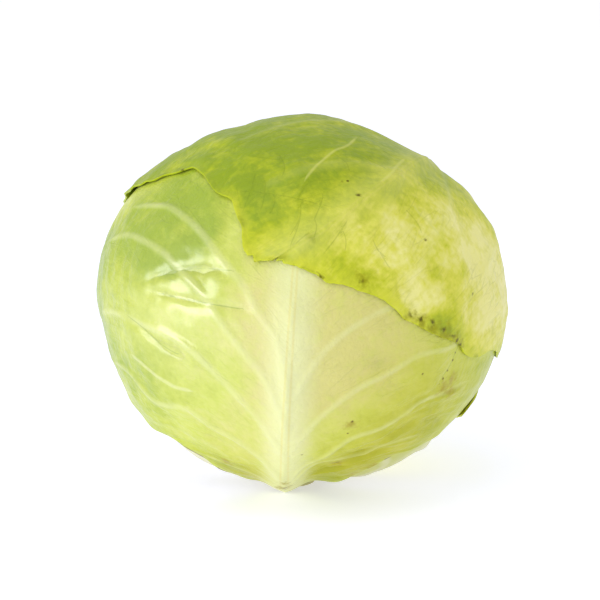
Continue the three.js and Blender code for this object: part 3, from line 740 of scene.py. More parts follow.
def spots(dirs, name):
    """The spots of this name, added up at each point."""
    total = np.zeros(len(dirs))
    for around, down, reach, amount in SPOTS.get(name, []):
        angle = np.degrees(np.arccos(np.clip(dirs @ direction(around, down), -1, 1)))
        total += amount * np.exp(-((angle / reach) ** 2))
    return total


def greenness(leaf, sheet):
    """0 for cream to 1 for green at each point of a blade; on the front leaf a few spots in it are painted shade."""
    across, reach = np.abs(sheet["across"]), sheet["reach"]
    broad = waves(sheet["dirs"] * MEAN_RADIUS, 45, 71 + len(leaf.name))
    if leaf.name == "front_leaf":
        green = 0.1 + 0.28 * smooth(across, 0.1, 0.9)
    elif leaf.name == "cap_leaf":
        green = 0.92 * smooth(reach + 0.12 * across, 0.05, 0.45)
    else:
        green = 0.04 + 0.5 * smooth(reach, 0.1, 0.7) * smooth(across, 0, 0.6)
        green += 0.3 * sheet["free"] * smooth(reach, 0, 0.4)
    return np.clip(green + spots(sheet["dirs"], leaf.name) + 0.06 * broad - 0.35 * sheet["rib"], 0, 1)


# %% What the paint has to know of a leaf
def leaf_marks(leaf, sheet):
    """Values at the points of a blade's outer sheet, by name."""
    dirs = sheet["dirs"]
    marks = {mark: sheet[mark] for mark in ("vein", "pale", "dark", "thread", "rib_off", "edge", "reach", "flow")}
    marks["green"] = greenness(leaf, sheet)
    marks["ripe"] = spots(dirs, "ripe " + leaf.name)
    marks["wax"] = LEAST_WAX + (1 - LEAST_WAX) * np.clip(spots(dirs, "wax " + leaf.name), 0, 1)
    marks["lime"] = np.ones(len(dirs))
    if leaf is CAP_LEAF:
        around = np.degrees(np.arctan2(dirs[:, 0], -dirs[:, 1]))
        marks["lime"] = LEAST_LIME + (1 - LEAST_LIME) * smooth(around, -34, -22) * smooth(around, 110, 80)
    return marks


# %% Make the five blades
SHEETS = {}


def leaf_piece(index):
    leaf, sheet = LEAVES[index], blade(index)
    SHEETS[leaf.name] = sheet
    points, faces, pick = shell(sheet)
    full = len(sheet["dirs"])
    if not outward(points, faces, points[:full] - HEAD_MIDDLE * MM):
        faces = [face[::-1] for face in faces]
    marks = leaf_marks(leaf, sheet)
    marks = {mark: np.concatenate([values, values[pick]]) for mark, values in marks.items()}
    small_veins = (0.3 + 0.7 * sheet["free"]) * smooth(sheet["near"], 1, 7) * smooth(sheet["vein"], 0.3, 2)
    marks["small_veins"] = np.concatenate([small_veins, np.zeros(len(points) - full)])
    return new_piece(leaf.name + "_blade", points, faces, marks)


blades = {leaf.name: leaf_piece(index) for index, leaf in enumerate(LEAVES)}
for name, piece in blades.items():
    print(name, len(piece.data.polygons), "faces")

# %% [markdown]
# The heart and the stem
#
# Inside is the heart: tens of leaves that are pressed into one firm ball, so a ball it is, with the edges of its
# outermost leaves as low steps. All the leaves grow from the stem, which was cut level with a knife. The cut
# shows a pale pith, and a ring of woody strands under a thin rind that has dried and browned.

# %% The heart
INNER_STEP, INNER_FALL, INNER_RIB, INNER_RIB_WIDTH = 0.9, 7, 0.7, 9
INNER_LEAVES = [
    Leaf(f"inner_{around}", around, 76, plain_outline(around, widen, skew), 5, EVEN)
    for around, widen, skew in ((170, 0.88, 6), (32.5, 0.8, -6), (-105, 0.84, 4))
]


def ring_faces(rings, sides):
    """Faces between rings of points, with one point over the first ring and one under the last, in this order."""
    faces = []
    for j in range(sides):
        k = (j + 1) % sides
        faces.append([rings * sides, j, k])
        faces.append([rings * sides + 1, (rings - 1) * sides + k, (rings - 1) * sides + j])
        for i in range(rings - 1):
            faces.append([i * sides + j, (i + 1) * sides + j, (i + 1) * sides + k, i * sides + k])
    return faces


def heart_piece(rings=150, spokes=300):
    down, around = np.meshgrid(np.linspace(0, 180, rings + 1)[1:-1], np.arange(spokes) * 360 / spokes, indexing="ij")
    dirs = np.vstack([direction(around.ravel(), down.ravel()), [[0, 0, 1], [0, 0, -1]]])
    radius = heart_radius(dirs)
    beside = []
    for leaf in INNER_LEAVES:
        radius -= INNER_STEP * smooth(past_margin(leaf, dirs), 0, INNER_FALL)
        beside.append(nearest(leaf.rib_dirs, dirs)[0] / INNER_RIB_WIDTH)
    radius -= INNER_RIB * (1 - np.exp(-(np.min(beside, 0) ** 2)))
    radius += 0.15 * waves(dirs * MEAN_RADIUS, 16, 5) * smooth(-dirs[:, 2], 0.999, 0.98)
    green = np.clip(0.25 + 0.35 * dirs[:, 2] + 0.1 * waves(dirs * MEAN_RADIUS, 40, 6), 0, 1)
    far = np.full(len(dirs), FAR)
    flow = np.stack([np.arctan2(dirs[:, 0], -dirs[:, 1]) * 80, dirs[:, 2] * 80, far], -1) * MM
    marks = {"green": green, "rib_off": np.min(beside, 0) * INNER_RIB_WIDTH, "flow": flow}
    marks.update({mark: far for mark in ("vein", "pale", "dark", "thread")})
    marks.update({mark: 0 * far for mark in ("ripe", "wax", "lime")})
    marks.update(edge=far * 4, reach=0.5 * far / FAR, small_veins=0.1 * far)
    return new_piece("heart_ball", place(dirs, radius), ring_faces(rings - 1, spokes), marks)


heart = heart_piece()

# %% The stem: a short column down the leaning plant's axis, cut level where the head rests
CUT_RADIUS, TOP_RADIUS, CHAMFER = 12.2, 11.5, 0.8
CUT_DEPTH, CUT_RIGHT, CUT_BACK = 86.5, 1.5, 2.5


def stem_piece(sides=120):
    turn = np.arange(sides) * 2 * np.pi / sides
    axis = LEAN @ [0, 0, -1]
    top = float(heart_radius(direction(np.array([0]), np.array([180])))[0]) + 2 * GAP

    def ring(radius, depth):
        local = np.stack([radius * np.sin(turn), -radius * np.cos(turn), np.full(sides, -depth)], -1)
        return local @ LEAN.T + HEAD_MIDDLE

    def cut(radius, level):
        points = ring(radius, CUT_DEPTH)
        return points + axis * ((level - points[:, 2:]) / axis[2]) + [CUT_RIGHT, CUT_BACK, 0]

    rough = waves(np.stack([20 * np.sin(turn), 20 * np.cos(turn), 0 * turn], -1), 7, 3)[:, None]
    first, last = ring(TOP_RADIUS, top), cut(CUT_RADIUS, 2)
    rings = [first + (last - first) * share for share in np.linspace(0, 1, 9)]
    rings += [cut(CUT_RADIUS, CHAMFER), cut(CUT_RADIUS - CHAMFER / 3, CHAMFER / 3), cut(CUT_RADIUS - CHAMFER, 0)]
    radii = np.linspace(CUT_RADIUS - CHAMFER, 0.6, 14)[1:]
    rings += [cut(radius, 0) for radius in radii]
    # The side is a little uneven; the knife left the cut level.
    centre = rings[11].mean(0)
    for k in range(1, 11):
        rings[k] = rings[k] - 0.18 * (1 + rough) * (rings[k] - rings[k].mean(0)) / CUT_RADIUS
    points = np.vstack(rings + [first.mean(0)[None], centre[None]]) * MM
    from_middle = np.hypot(*(points[:, :2] / MM - centre[:2]).T) / (CUT_RADIUS - CHAMFER)
    return new_piece("stem_stub", points, ring_faces(len(rings), sides), {"from_middle": from_middle}, sharp=40)


stem = stem_piece()
print("heart and stem:", len(heart.data.polygons), len(stem.data.polygons), "faces")

# %% [markdown]
# Small veins
#
# Between the side veins runs a net of small ones that follows the whole surface, so a Geometry Nodes tree makes
# it: each point moves a little along its normal, by how near it is to the edge of a Voronoi cell. The paint uses
# the same cells at the same places, because both read the same coordinates, so a line of colour lies in each
# fold. On the cap the net lies in grooves, and on the pale leaves it stands up slightly.


# %% Helpers for node trees
def add_node(tree, kind, inputs=None, **settings):
    """A node with its settings, its plain values, and links from other nodes' sockets."""
    made = tree.nodes.new(kind)
    for key, value in settings.items():
        setattr(made, key, value)
    for key, value in (inputs or {}).items():
        if isinstance(value, bpy.types.NodeSocket):
            tree.links.new(value, made.inputs[key])
        else:
            made.inputs[key].default_value = value
    return made


def maths(tree, operation, a, b=0.0, clamp=False):
    return add_node(tree, "ShaderNodeMath", {0: a, 1: b}, operation=operation, use_clamp=clamp).outputs[0]


SQUEEZE = (1.0, 0.42, 1.0)  # cells are squeezed along the rows, so they come out longer there


def cell_edges(tree, flow, cell, wander):
    """Distance to the nearest edge, in cells; a slow noise makes the edges wander, by this many metres."""
    position = add_node(tree, "ShaderNodeVectorMath", {0: flow, 1: SQUEEZE}, operation="MULTIPLY").outputs[0]
    drift = add_node(tree, "ShaderNodeTexNoise", {"Vector": position, "Scale": 90.0, "Detail": 2.0}).outputs["Color"]
    drift = add_node(tree, "ShaderNodeVectorMath", {0: drift, 1: (0.5, 0.5, 0.5)}, operation="SUBTRACT").outputs[0]
    drift = add_node(tree, "ShaderNodeVectorMath", {0: drift, "Scale": wander}, operation="SCALE").outputs[0]
    moved = add_node(tree, "ShaderNodeVectorMath", {0: position, 1: drift}, operation="ADD").outputs[0]
    scale = maths(tree, "DIVIDE", 1.0, cell)
    edges = add_node(tree, "ShaderNodeTexVoronoi", {"Vector": moved, "Scale": scale}, feature="DISTANCE_TO_EDGE")
    return edges.outputs["Distance"]


# %% The Geometry Nodes tree of the net
def net_tree():
    tree = bpy.data.node_groups.new("Small veins", "GeometryNodeTree")
    for name, kind in (
        ("Geometry", "NodeSocketGeometry"), ("Cell size", "NodeSocketFloat"), ("Wander", "NodeSocketFloat"),
        ("Relief", "NodeSocketFloat"), ("Fold width", "NodeSocketFloat"), ("Material", "NodeSocketMaterial"),
    ):
        tree.interface.new_socket(name, in_out="INPUT", socket_type=kind)
    tree.interface.new_socket("Geometry", in_out="OUTPUT", socket_type="NodeSocketGeometry")
    given = tree.nodes.new("NodeGroupInput").outputs
    flow = add_node(tree, "GeometryNodeInputNamedAttribute", {"Name": "flow"}, data_type="FLOAT_VECTOR").outputs[0]
    normal = tree.nodes.new("GeometryNodeInputNormal").outputs[0]
    weight = add_node(tree, "GeometryNodeInputNamedAttribute", {"Name": "small_veins"}, data_type="FLOAT").outputs[0]
    edges = cell_edges(tree, flow, given["Cell size"], given["Wander"])
    fold = add_node(
        tree, "ShaderNodeMapRange",
        {"Value": edges, "From Min": 0.0, "From Max": given["Fold width"], "To Min": 1.0, "To Max": 0.0},
        interpolation_type="SMOOTHSTEP",
    ).outputs["Result"]
    height = maths(tree, "MULTIPLY", maths(tree, "MULTIPLY", fold, given["Relief"]), weight)
    offset = add_node(tree, "ShaderNodeVectorMath", {0: normal, "Scale": height}, operation="SCALE").outputs[0]
    moved = add_node(tree, "GeometryNodeSetPosition", {"Geometry": given["Geometry"], "Offset": offset})
    real = add_node(tree, "GeometryNodeRealizeInstances", {"Geometry": moved.outputs[0]})
    painted = add_node(
        tree, "GeometryNodeSetMaterial", {"Geometry": real.outputs[0], "Material": given["Material"]}
    )
    add_node(tree, "NodeGroupOutput", {"Geometry": painted.outputs[0]})
    return tree


# %% Put the net in a piece
NET = net_tree()
print("the net's tree has", len(NET.nodes), "nodes")


def with_small_veins(piece, material, cell, wander, relief, width=0.2):
    """The piece's mesh with the net in it, and its material set."""
    modifier = piece.modifiers.new("small veins", "NODES")
    modifier.node_group = NET
    values = {"Cell size": cell, "Wander": wander, "Relief": relief, "Fold width": width, "Material": material}
    for item in NET.interface.items_tree:
        if item.item_type == "SOCKET" and item.in_out == "INPUT" and item.name in values:
            modifier[item.identifier] = values[item.name]
    graph = bpy.context.evaluated_depsgraph_get()
    mesh = bpy.data.meshes.new_from_object(piece.evaluated_get(graph), depsgraph=graph)
    piece.modifiers.clear()
    old, piece.data = piece.data, mesh
    bpy.data.meshes.remove(old)
    mesh.name = piece.name
    mesh.materials.clear()
    mesh.materials.append(material)


# %% [markdown]
# Paint for living leaves
#
# A leaf's colour has layers: the green of its flesh, with some painted shade in it on the front leaf, ripe yellow,
# paler or darker lines where the small veins run, pale side veins, thin dark threads and painted shade along the
# front leaf's creases, a yellow-green border, soft stains, and a few brown specks and dry tears. Each layer that
# several leaves share is a node group which gives out a mask, and each leaf's material mixes its own colours by
# them. A thin wax makes the surface satin, and is thick enough to shine at the front leaf's left. Light goes a
# little way into the flesh, so the material has some subsurface scattering.


# %% Small helpers of a material
def srgb(red, green, blue):
    """A colour as a screen shows it, 0 to 255, made linear for a shader."""
    shares = [c / 255 for c in (red, green, blue)]
    return tuple(c / 12.92 if c <= 0.04045 else ((c + 0.055) / 1.055) ** 2.4 for c in shares) + (1,)


def mark(tree, name, output="Fac"):
    """What the mesh knows at each point."""
    return add_node(tree, "ShaderNodeAttribute", attribute_name=name).outputs[output]


def ramp(tree, value, low, high, start=0.0, end=1.0):
    """A smooth step from start to end as a value goes from low to high."""
    return add_node(
        tree, "ShaderNodeMapRange",
        {"Value": value, "From Min": low, "From Max": high, "To Min": start, "To Max": end},
        interpolation_type="SMOOTHSTEP",
    ).outputs["Result"]


def times(tree, a, b):
    return maths(tree, "MULTIPLY", a, b)


def mix(tree, share, first, second):
    made = tree.nodes.new("ShaderNodeMix")
    made.data_type = "RGBA"
    for socket, value in ((made.inputs[0], share), (made.inputs[6], first), (made.inputs[7], second)):
        if isinstance(value, bpy.types.NodeSocket):
            tree.links.new(value, socket)
        else:
            socket.default_value = value
    return made.outputs[2]


def colour_ramp(tree, value, stops):
    made = add_node(tree, "ShaderNodeValToRGB", {"Fac": value})
    points = made.color_ramp.elements
    for _ in stops[2:]:
        points.new(0.5)
    for point, (at, colour) in zip(points, stops):
        point.position, point.color = at, srgb(*colour)
    return made.outputs["Color"]


# %% A shared group, and the first one: the net's lines
def new_group(name, inputs, output):
    tree = bpy.data.node_groups.new(name, "ShaderNodeTree")
    for title, value in inputs.items():
        kind = "NodeSocketVector" if isinstance(value, tuple) else "NodeSocketFloat"
        tree.interface.new_socket(title, in_out="INPUT", socket_type=kind).default_value = value
    tree.interface.new_socket(output, in_out="OUTPUT", socket_type="NodeSocketFloat")
    given = tree.nodes.new("NodeGroupInput").outputs
    position = tree.nodes.new("ShaderNodeTexCoord").outputs["Object"]
    return tree, given, position


def net_group():
    """Thin lines between long cells that follow the leaf's rows, and fade in and out."""
    sizes = {"Cell size": 0.012, "Wander": 0.004, "Line": 0.06}
    tree, given, position = new_group("Net of small veins", sizes, "Lines")
    edges = cell_edges(tree, mark(tree, "flow", "Vector"), given["Cell size"], given["Wander"])
    there = add_node(tree, "ShaderNodeTexNoise", {"Vector": position, "Scale": 55.0, "Detail": 2.0}).outputs["Fac"]
    lines = times(tree, ramp(tree, edges, 0.0, given["Line"], 1.0, 0.0), ramp(tree, there, 0.38, 0.66))
    add_node(tree, "NodeGroupOutput", {"Lines": lines})
    return tree


# %% Blotches and streaks
def centred_noise(tree, vector, scale, detail, strength):
    """Noise from about minus to plus its strength."""
    noise = add_node(tree, "ShaderNodeTexNoise", {"Vector": vector, "Scale": scale, "Detail": detail}).outputs["Fac"]
    return times(tree, times(tree, maths(tree, "SUBTRACT", noise, 0.5), 2.0), strength)


def blotch_group():
    """Round blotches of any size, from minus to plus their strength."""
    tree, given, position = new_group("Blotches", {"Size": 0.03, "Detail": 3.0, "Strength": 1.0}, "Blotch")
    scale = maths(tree, "DIVIDE", 1.0, given["Size"])
    blotch = centred_noise(tree, position, scale, given["Detail"], given["Strength"])
    add_node(tree, "NodeGroupOutput", {"Blotch": blotch})
    return tree


def streak_group():
    """Blotches drawn out along the leaf's rows."""
    tree, given, _ = new_group("Streaks", {"Size": 0.01, "Length": 4.0, "Strength": 1.0}, "Streak")
    thin = maths(tree, "DIVIDE", 1.0, given["Length"])
    shape = add_node(tree, "ShaderNodeCombineXYZ", {"X": 1.0, "Y": thin, "Z": 1.0}).outputs[0]
    flow = mark(tree, "flow", "Vector")
    drawn = add_node(tree, "ShaderNodeVectorMath", {0: flow, 1: shape}, operation="MULTIPLY").outputs[0]
    scale = maths(tree, "DIVIDE", 1.0, given["Size"])
    add_node(tree, "NodeGroupOutput", {"Streak": centred_noise(tree, drawn, scale, 4.0, given["Strength"])})
    return tree


# %% Specks and bruises
def speck_group():
    """A few round specks, at random."""
    tree, given, position = new_group("Specks", {"Spacing": 0.02, "Size": 0.05, "Share": 0.2}, "Specks")
    scale = maths(tree, "DIVIDE", 1.0, given["Spacing"])
    cells = add_node(tree, "ShaderNodeTexVoronoi", {"Vector": position, "Scale": scale})
    draw = add_node(tree, "ShaderNodeSeparateColor", {"Color": cells.outputs["Color"]}).outputs
    chosen = maths(tree, "LESS_THAN", draw["Red"], given["Share"])
    size = times(tree, given["Size"], maths(tree, "ADD", draw["Green"], 0.4))
    spot = ramp(tree, maths(tree, "DIVIDE", cells.outputs["Distance"], size), 0.5, 1.0, 1.0, 0.0)
    add_node(tree, "NodeGroupOutput", {"Specks": times(tree, chosen, spot)})
    return tree


def bruise_group():
    """One ragged spot at a place on the head."""
    tree, given, position = new_group("Bruise", {"Place": (0.0, 0.0, 0.0), "Radius": 0.002}, "Bruise")
    rag = add_node(tree, "ShaderNodeTexNoise", {"Vector": position, "Scale": 420.0, "Detail": 2.0}).outputs["Fac"]
    gap = add_node(tree, "ShaderNodeVectorMath", {0: position, 1: given["Place"]}, operation="DISTANCE")
    off = maths(tree, "DIVIDE", gap.outputs["Value"], given["Radius"])
    off = maths(tree, "ADD", off, times(tree, rag, 2.4))
    add_node(tree, "NodeGroupOutput", {"Bruise": ramp(tree, off, 1.0, 2.4, 1.0, 0.0)})
    return tree


GROUPS = {
    "net": net_group(), "blotch": blotch_group(), "streak": streak_group(), "speck": speck_group(),
    "bruise": bruise_group(),
}
print("shared groups:", ", ".join(GROUPS))


def use_group(tree, which, **values):
    made = tree.nodes.new("ShaderNodeGroup")
    made.node_tree = GROUPS[which]
    for title, value in values.items():
        made.inputs[title.replace("_", " ")].default_value = value
    return made.outputs[0]


# %% Dark bruises and softer stains, their places given too: around, down and radius in millimetres
BRUISES = {
    "cap_leaf": [
        (14.5, 43.9, 1.4), (16.7, 43.5, 1.0), (19.7, 49.6, 1.8), (16.3, 75.2, 2.0), (31.2, 84.2, 2.0),
        (34.5, 85.6, 2.0), (38.1, 86.8, 2.6), (42.5, 88.8, 2.8), (46.5, 90.6, 2.4), (48.7, 92.2, 2.0),
        (50.8, 94.0, 2.2), (56.6, 80.5, 1.6), (40.0, 64.1, 1.2),
    ],
    "front_leaf": [
        (4.2, 130, 1.0), (18.5, 116.2, 1.2), (18.4, 120.4, 0.7), (-1.9, 155.5, 2.0), (37.6, 100.7, 1.0),
        (21.5, 137.5, 1.5), (51.2, 93.8, 1.1), (50.4, 96.2, 1.0), (49.6, 98.6, 1.0), (48.6, 101.2, 0.9),
        (47.2, 103.4, 1.0), (46.2, 105.2, 0.8),
    ],
}
STAINS = {
    "cap_leaf": [
        (31.5, 84.6, 1.6), (35.0, 86.4, 2.2), (39.0, 88.2, 2.4), (43.0, 90.2, 2.8), (46.5, 92.2, 2.4),
        (49.5, 94.2, 2.0), (77.0, 117.0, 3.2), (17.0, 74.5, 1.8),
    ],
    "front_leaf": [
        (49.6, 106.3, 2.2), (51.8, 104.4, 1.8), (53.0, 108.0, 1.6), (18.6, 117.5, 1.6), (22.0, 138.0, 2.0),
        (-1.9, 155.0, 2.4), (-2.2, 149.0, 1.4), (-31.0, 141.0, 1.8), (38.0, 146.0, 2.2), (46.0, 141.0, 2.0),
    ],
}


def bruises(tree, name, places, share):
    """All the bruises of one leaf, as one mask; share: the radius, from that in the list."""
    mask = 0.0
    for around, down, radius in places.get(name, []):
        sheet = SHEETS[name]
        nearby = int(np.argmax(sheet["dirs"] @ direction(around, down)))
        where = place(sheet["dirs"][nearby][None], sheet["outer"][nearby][None])[0]
        spot = use_group(tree, "bruise", Place=tuple(where), Radius=share * radius * MM)
        mask = maths(tree, "MAXIMUM", spot, mask)
    return mask


# %% [markdown]
# Each leaf's own look
#
# All leaves have the same layers of paint, so what differs between them is a table. The plain inner leaf has every
# value, and the others say only where they differ. Colours are as a screen shows them: "stops" go from cream to
# green, "pale" is for veins, "line" for the small net, the dark threads and the shade painted along the front leaf's
# creases, "border", "shade" and "rim" for the margin, its darker places and its very edge, "brown" for specks, tears
# and bruises, "stain" for softer ones. "blotch", "streak" and "small" say how mottled the leaf is, and "veins",
# "net",
# "rib", "worn" and the key of the dark threads and crease shade how much each of these layers covers. "width" is the
# border's in millimetres, "band" the veins' in half widths, "cell", "wander" and "relief" are the net's in metres,
# and "dry" is where the margin has dried. "wax" is the roughness, "gloss" the coat's share, and "fold" and
# "crinkle" the fine relief.

# %% The colours and finish of the leaves
INNER = {
    "stops": [(0.0, (220, 217, 186)), (0.5, (208, 214, 138)), (1.0, (182, 198, 84))],
    "pale": (228, 225, 196), "line": (190, 200, 118), "border": (196, 206, 104), "shade": (150, 166, 60),
    "rim": (208, 212, 132), "brown": (118, 92, 30), "stain": (178, 150, 30),
    "blotch": 0.25, "streak": 0.10, "small": 0.10, "veins": 0.7, "net": 0.2, "thread": 0.0, "rib": 0.8, "worn": 0.6,
    "width": 4.0, "cell": 0.012, "wander": 0.006, "relief": 0.00010, "dry": (0.24, 0.36),
    "wax": 0.36, "gloss": 0.6, "fold": 0.5, "crinkle": 0.0003, "band": 2.0,
}
FRONT = {
    "stops": [
        (0.0, (218, 213, 130)), (0.2, (214, 217, 116)), (0.45, (203, 213, 90)), (0.7, (184, 197, 66)),
        (1.0, (154, 176, 42)),
    ],
    # The line colour also paints the shade along the front leaf's creases.
    "pale": (230, 233, 168), "line": (150, 172, 60), "border": (206, 216, 98), "shade": (140, 156, 40),
    "rim": (206, 214, 104), "brown": (84, 52, 0), "stain": (172, 158, 52),
    "blotch": 0.36, "streak": 0.12, "small": 0.18, "veins": 0.42, "net": 0.08, "thread": 0.5, "rib": 0.85,
    "worn": 0.9, "relief": 0.00006, "dry": (0.10, 0.26), "wax": 0.32, "gloss": 1.0, "fold": 0.3, "crinkle": 0.0006,
    "band": 1.8,
}
CAP = {
    "stops": [
        (0.0, (240, 236, 146)), (0.3, (222, 221, 88)), (0.55, (197, 204, 46)), (0.8, (168, 183, 34)),
        (1.0, (144, 166, 32)),
    ],
    "pale": (218, 220, 120), "line": (104, 126, 12), "border": (208, 212, 54), "shade": (120, 134, 0),
    "rim": (206, 220, 40), "brown": (88, 80, 0), "stain": (150, 148, 0),
    "blotch": 0.50, "streak": 0.13, "small": 0.28, "veins": 0.22, "net": 0.18, "thread": 0.24, "rib": 0.3,
    "worn": 0.9, "width": 8.0, "cell": 0.011, "wander": 0.007, "relief": -0.00012, "dry": (0.37, 0.47),
    "wax": 0.38, "gloss": 0.8, "fold": -0.3, "band": 2.3,
}
HEART = {
    "stops": [(0.0, (226, 222, 166)), (1.0, (208, 216, 132))],
    "pale": (230, 228, 190), "line": (200, 208, 124), "border": (208, 216, 132), "shade": (190, 200, 110),
    "rim": (216, 218, 150), "blotch": 0.2, "small": 0.08, "veins": 0.5, "rib": 0.5, "worn": 0.1, "width": 2.0,
    "cell": 0.011,
}
LOOKS = {
    "front_leaf": {**INNER, **FRONT}, "cap_leaf": {**INNER, **CAP}, "inner_leaf": INNER, "heart": {**INNER, **HEART},
}
RIPE, GROOVE = (200, 188, 48), (224, 214, 124)


# %% The layers of a leaf's colour, from the flesh out
def flesh(tree, look):
    """Cream to green, mottled and ripened; with it, the mottling at three sizes."""
    broad = use_group(tree, "blotch", Size=0.015, Detail=6.0, Strength=look["blotch"])
    streak = use_group(tree, "streak", Size=0.006, Length=5.0, Strength=look["streak"])
    small = use_group(tree, "blotch", Size=0.003, Detail=3.0, Strength=look["small"])
    green = maths(tree, "ADD", maths(tree, "ADD", mark(tree, "green"), broad), streak)
    colour = colour_ramp(tree, maths(tree, "ADD", green, small, clamp=True), look["stops"])
    return mix(tree, mark(tree, "ripe"), colour, srgb(*RIPE)), broad, streak, small


def small_net(tree, look):
    """The net of small veins, with a finer one at half its strength."""
    lines = use_group(tree, "net", Cell_size=look["cell"], Wander=look["wander"], Line=0.05)
    finer = use_group(tree, "net", Cell_size=look["cell"] * 0.4, Wander=look["wander"] * 0.5, Line=0.09)
    return maths(tree, "MAXIMUM", lines, times(tree, finer, 0.5))


def with_veins(tree, colour, net, along, look):
    """The small net, side veins, pale threads, the midrib and its grooves, dark threads and painted crease shade."""
    pale, line = srgb(*look["pale"]), srgb(*look["line"])
    colour = mix(tree, times(tree, net, look["net"]), colour, line)
    band = times(tree, ramp(tree, mark(tree, "vein"), 0.2, look["band"], 1.0, 0.0), along)
    colour = mix(tree, times(tree, band, look["veins"]), colour, pale)
    colour = mix(tree, times(tree, ramp(tree, mark(tree, "pale"), 0.2, 1.3, 1.0, 0.0), 0.5), colour, pale)
    rib = mark(tree, "rib_off")
    colour = mix(tree, ramp(tree, rib, 2.0, 16.0, look["rib"], 0.0), colour, pale)
    groove = ramp(tree, mark(tree, "reach"), 0.1, 0.8, 1.9, 0.9)
    beside = maths(tree, "ABSOLUTE", maths(tree, "SUBTRACT", rib, groove))
    colour = mix(tree, ramp(tree, beside, 0.1, 0.8, look["rib"] * 0.45, 0.0), colour, srgb(*GROOVE))
    # Dark threads, and along the front leaf's creases painted shade, in the line colour.
    thin = ramp(tree, maths(tree, "ABSOLUTE", mark(tree, "thread")), 0.1, 0.42, look["thread"], 0.0)
    return mix(tree, times(tree, thin, ramp(tree, mark(tree, "dark"), 1.2, 2.2, 1.0, 0.0)), colour, line)


def with_margin(tree, colour, along, look):
    """The border of uneven width, darker places in it, and the bright edge."""
    edge, width = mark(tree, "edge"), look["width"]
    wobble = use_group(tree, "blotch", Size=0.007, Detail=3.0, Strength=width * 0.9)
    rim = ramp(tree, maths(tree, "ADD", edge, wobble), 0.0, width, 0.9, 0.0)
    colour = mix(tree, times(tree, times(tree, rim, along), mark(tree, "lime")), colour, srgb(*look["border"]))
    shade = ramp(tree, use_group(tree, "blotch", Size=0.010, Detail=4.0, Strength=1.0), 0.08, 0.4)
    shade = times(tree, shade, ramp(tree, edge, 0.8, width * 0.6, 0.5, 0.0))
    colour = mix(tree, shade, colour, srgb(*look["shade"]))
    return mix(tree, ramp(tree, edge, 0.0, 0.7, 0.5, 0.0), colour, srgb(*look["rim"]))


def with_wear(tree, colour, leaf, look):
    """Soft stains, and over them dry places of the margin, specks and bruises."""
    dry = use_group(tree, "blotch", Size=0.011, Detail=4.0, Strength=1.0)
    dry = times(tree, ramp(tree, dry, *look["dry"]), ramp(tree, mark(tree, "edge"), 0.5, 1.8, 1.0, 0.0))
    dots = use_group(tree, "speck", Spacing=0.019, Size=0.03, Share=0.12)
    worn = times(tree, maths(tree, "MAXIMUM", dry, dots), look["worn"])
    stained = times(tree, bruises(tree, leaf, STAINS, 2.2), 0.85)
    colour = mix(tree, stained, colour, srgb(*look["stain"]))
    worn = maths(tree, "MAXIMUM", worn, bruises(tree, leaf, BRUISES, 0.75))
    return mix(tree, worn, colour, srgb(*look["brown"]))


# %% A leaf's material
def leaf_paint(leaf, look):
    material = bpy.data.materials.new(leaf.replace("_", " ").capitalize())
    material.use_nodes = True
    tree = material.node_tree
    shader = tree.nodes["Principled BSDF"]
    colour, broad, streak, small = flesh(tree, look)
    net = small_net(tree, look)
    along = maths(tree, "ADD", 0.75, use_group(tree, "blotch", Size=0.012, Detail=2.0, Strength=0.5), clamp=True)
    colour = with_veins(tree, colour, net, along, look)
    colour = with_margin(tree, colour, along, look)
    tree.links.new(with_wear(tree, colour, leaf, look), shader.inputs["Base Color"])

    rough = maths(tree, "ADD", times(tree, maths(tree, "ADD", broad, small), 0.12), look["wax"])
    tree.links.new(rough, shader.inputs["Roughness"])
    tree.links.new(times(tree, mark(tree, "wax"), look["gloss"]), shader.inputs["Coat Weight"])
    for socket, value in (
        ("Specular IOR Level", 0.14), ("Coat Roughness", 0.27), ("Coat IOR", 1.9),
        ("Subsurface Weight", 0.15), ("Subsurface Radius", (0.9, 1.0, 0.3)), ("Subsurface Scale", 0.002),
    ):
        shader.inputs[socket].default_value = value
    crinkle = maths(tree, "ADD", times(tree, streak, 2.0), times(tree, small, 4.0))
    height = maths(tree, "ADD", times(tree, net, look["fold"]), crinkle)
    relief = add_node(tree, "ShaderNodeBump", {"Strength": 0.7, "Distance": look["crinkle"], "Height": height})
    tree.links.new(relief.outputs["Normal"], shader.inputs["Normal"])
    return material


PAINTS = {leaf: leaf_paint(leaf, look) for leaf, look in LOOKS.items()}
SLOTS = {"left_leaf": "inner_leaf", "right_leaf": "inner_leaf", "back_leaf": "inner_leaf"}
SLOTS.update(front_leaf="front_leaf", cap_leaf="cap_leaf")
print("leaf finishes:", ", ".join(PAINTS))


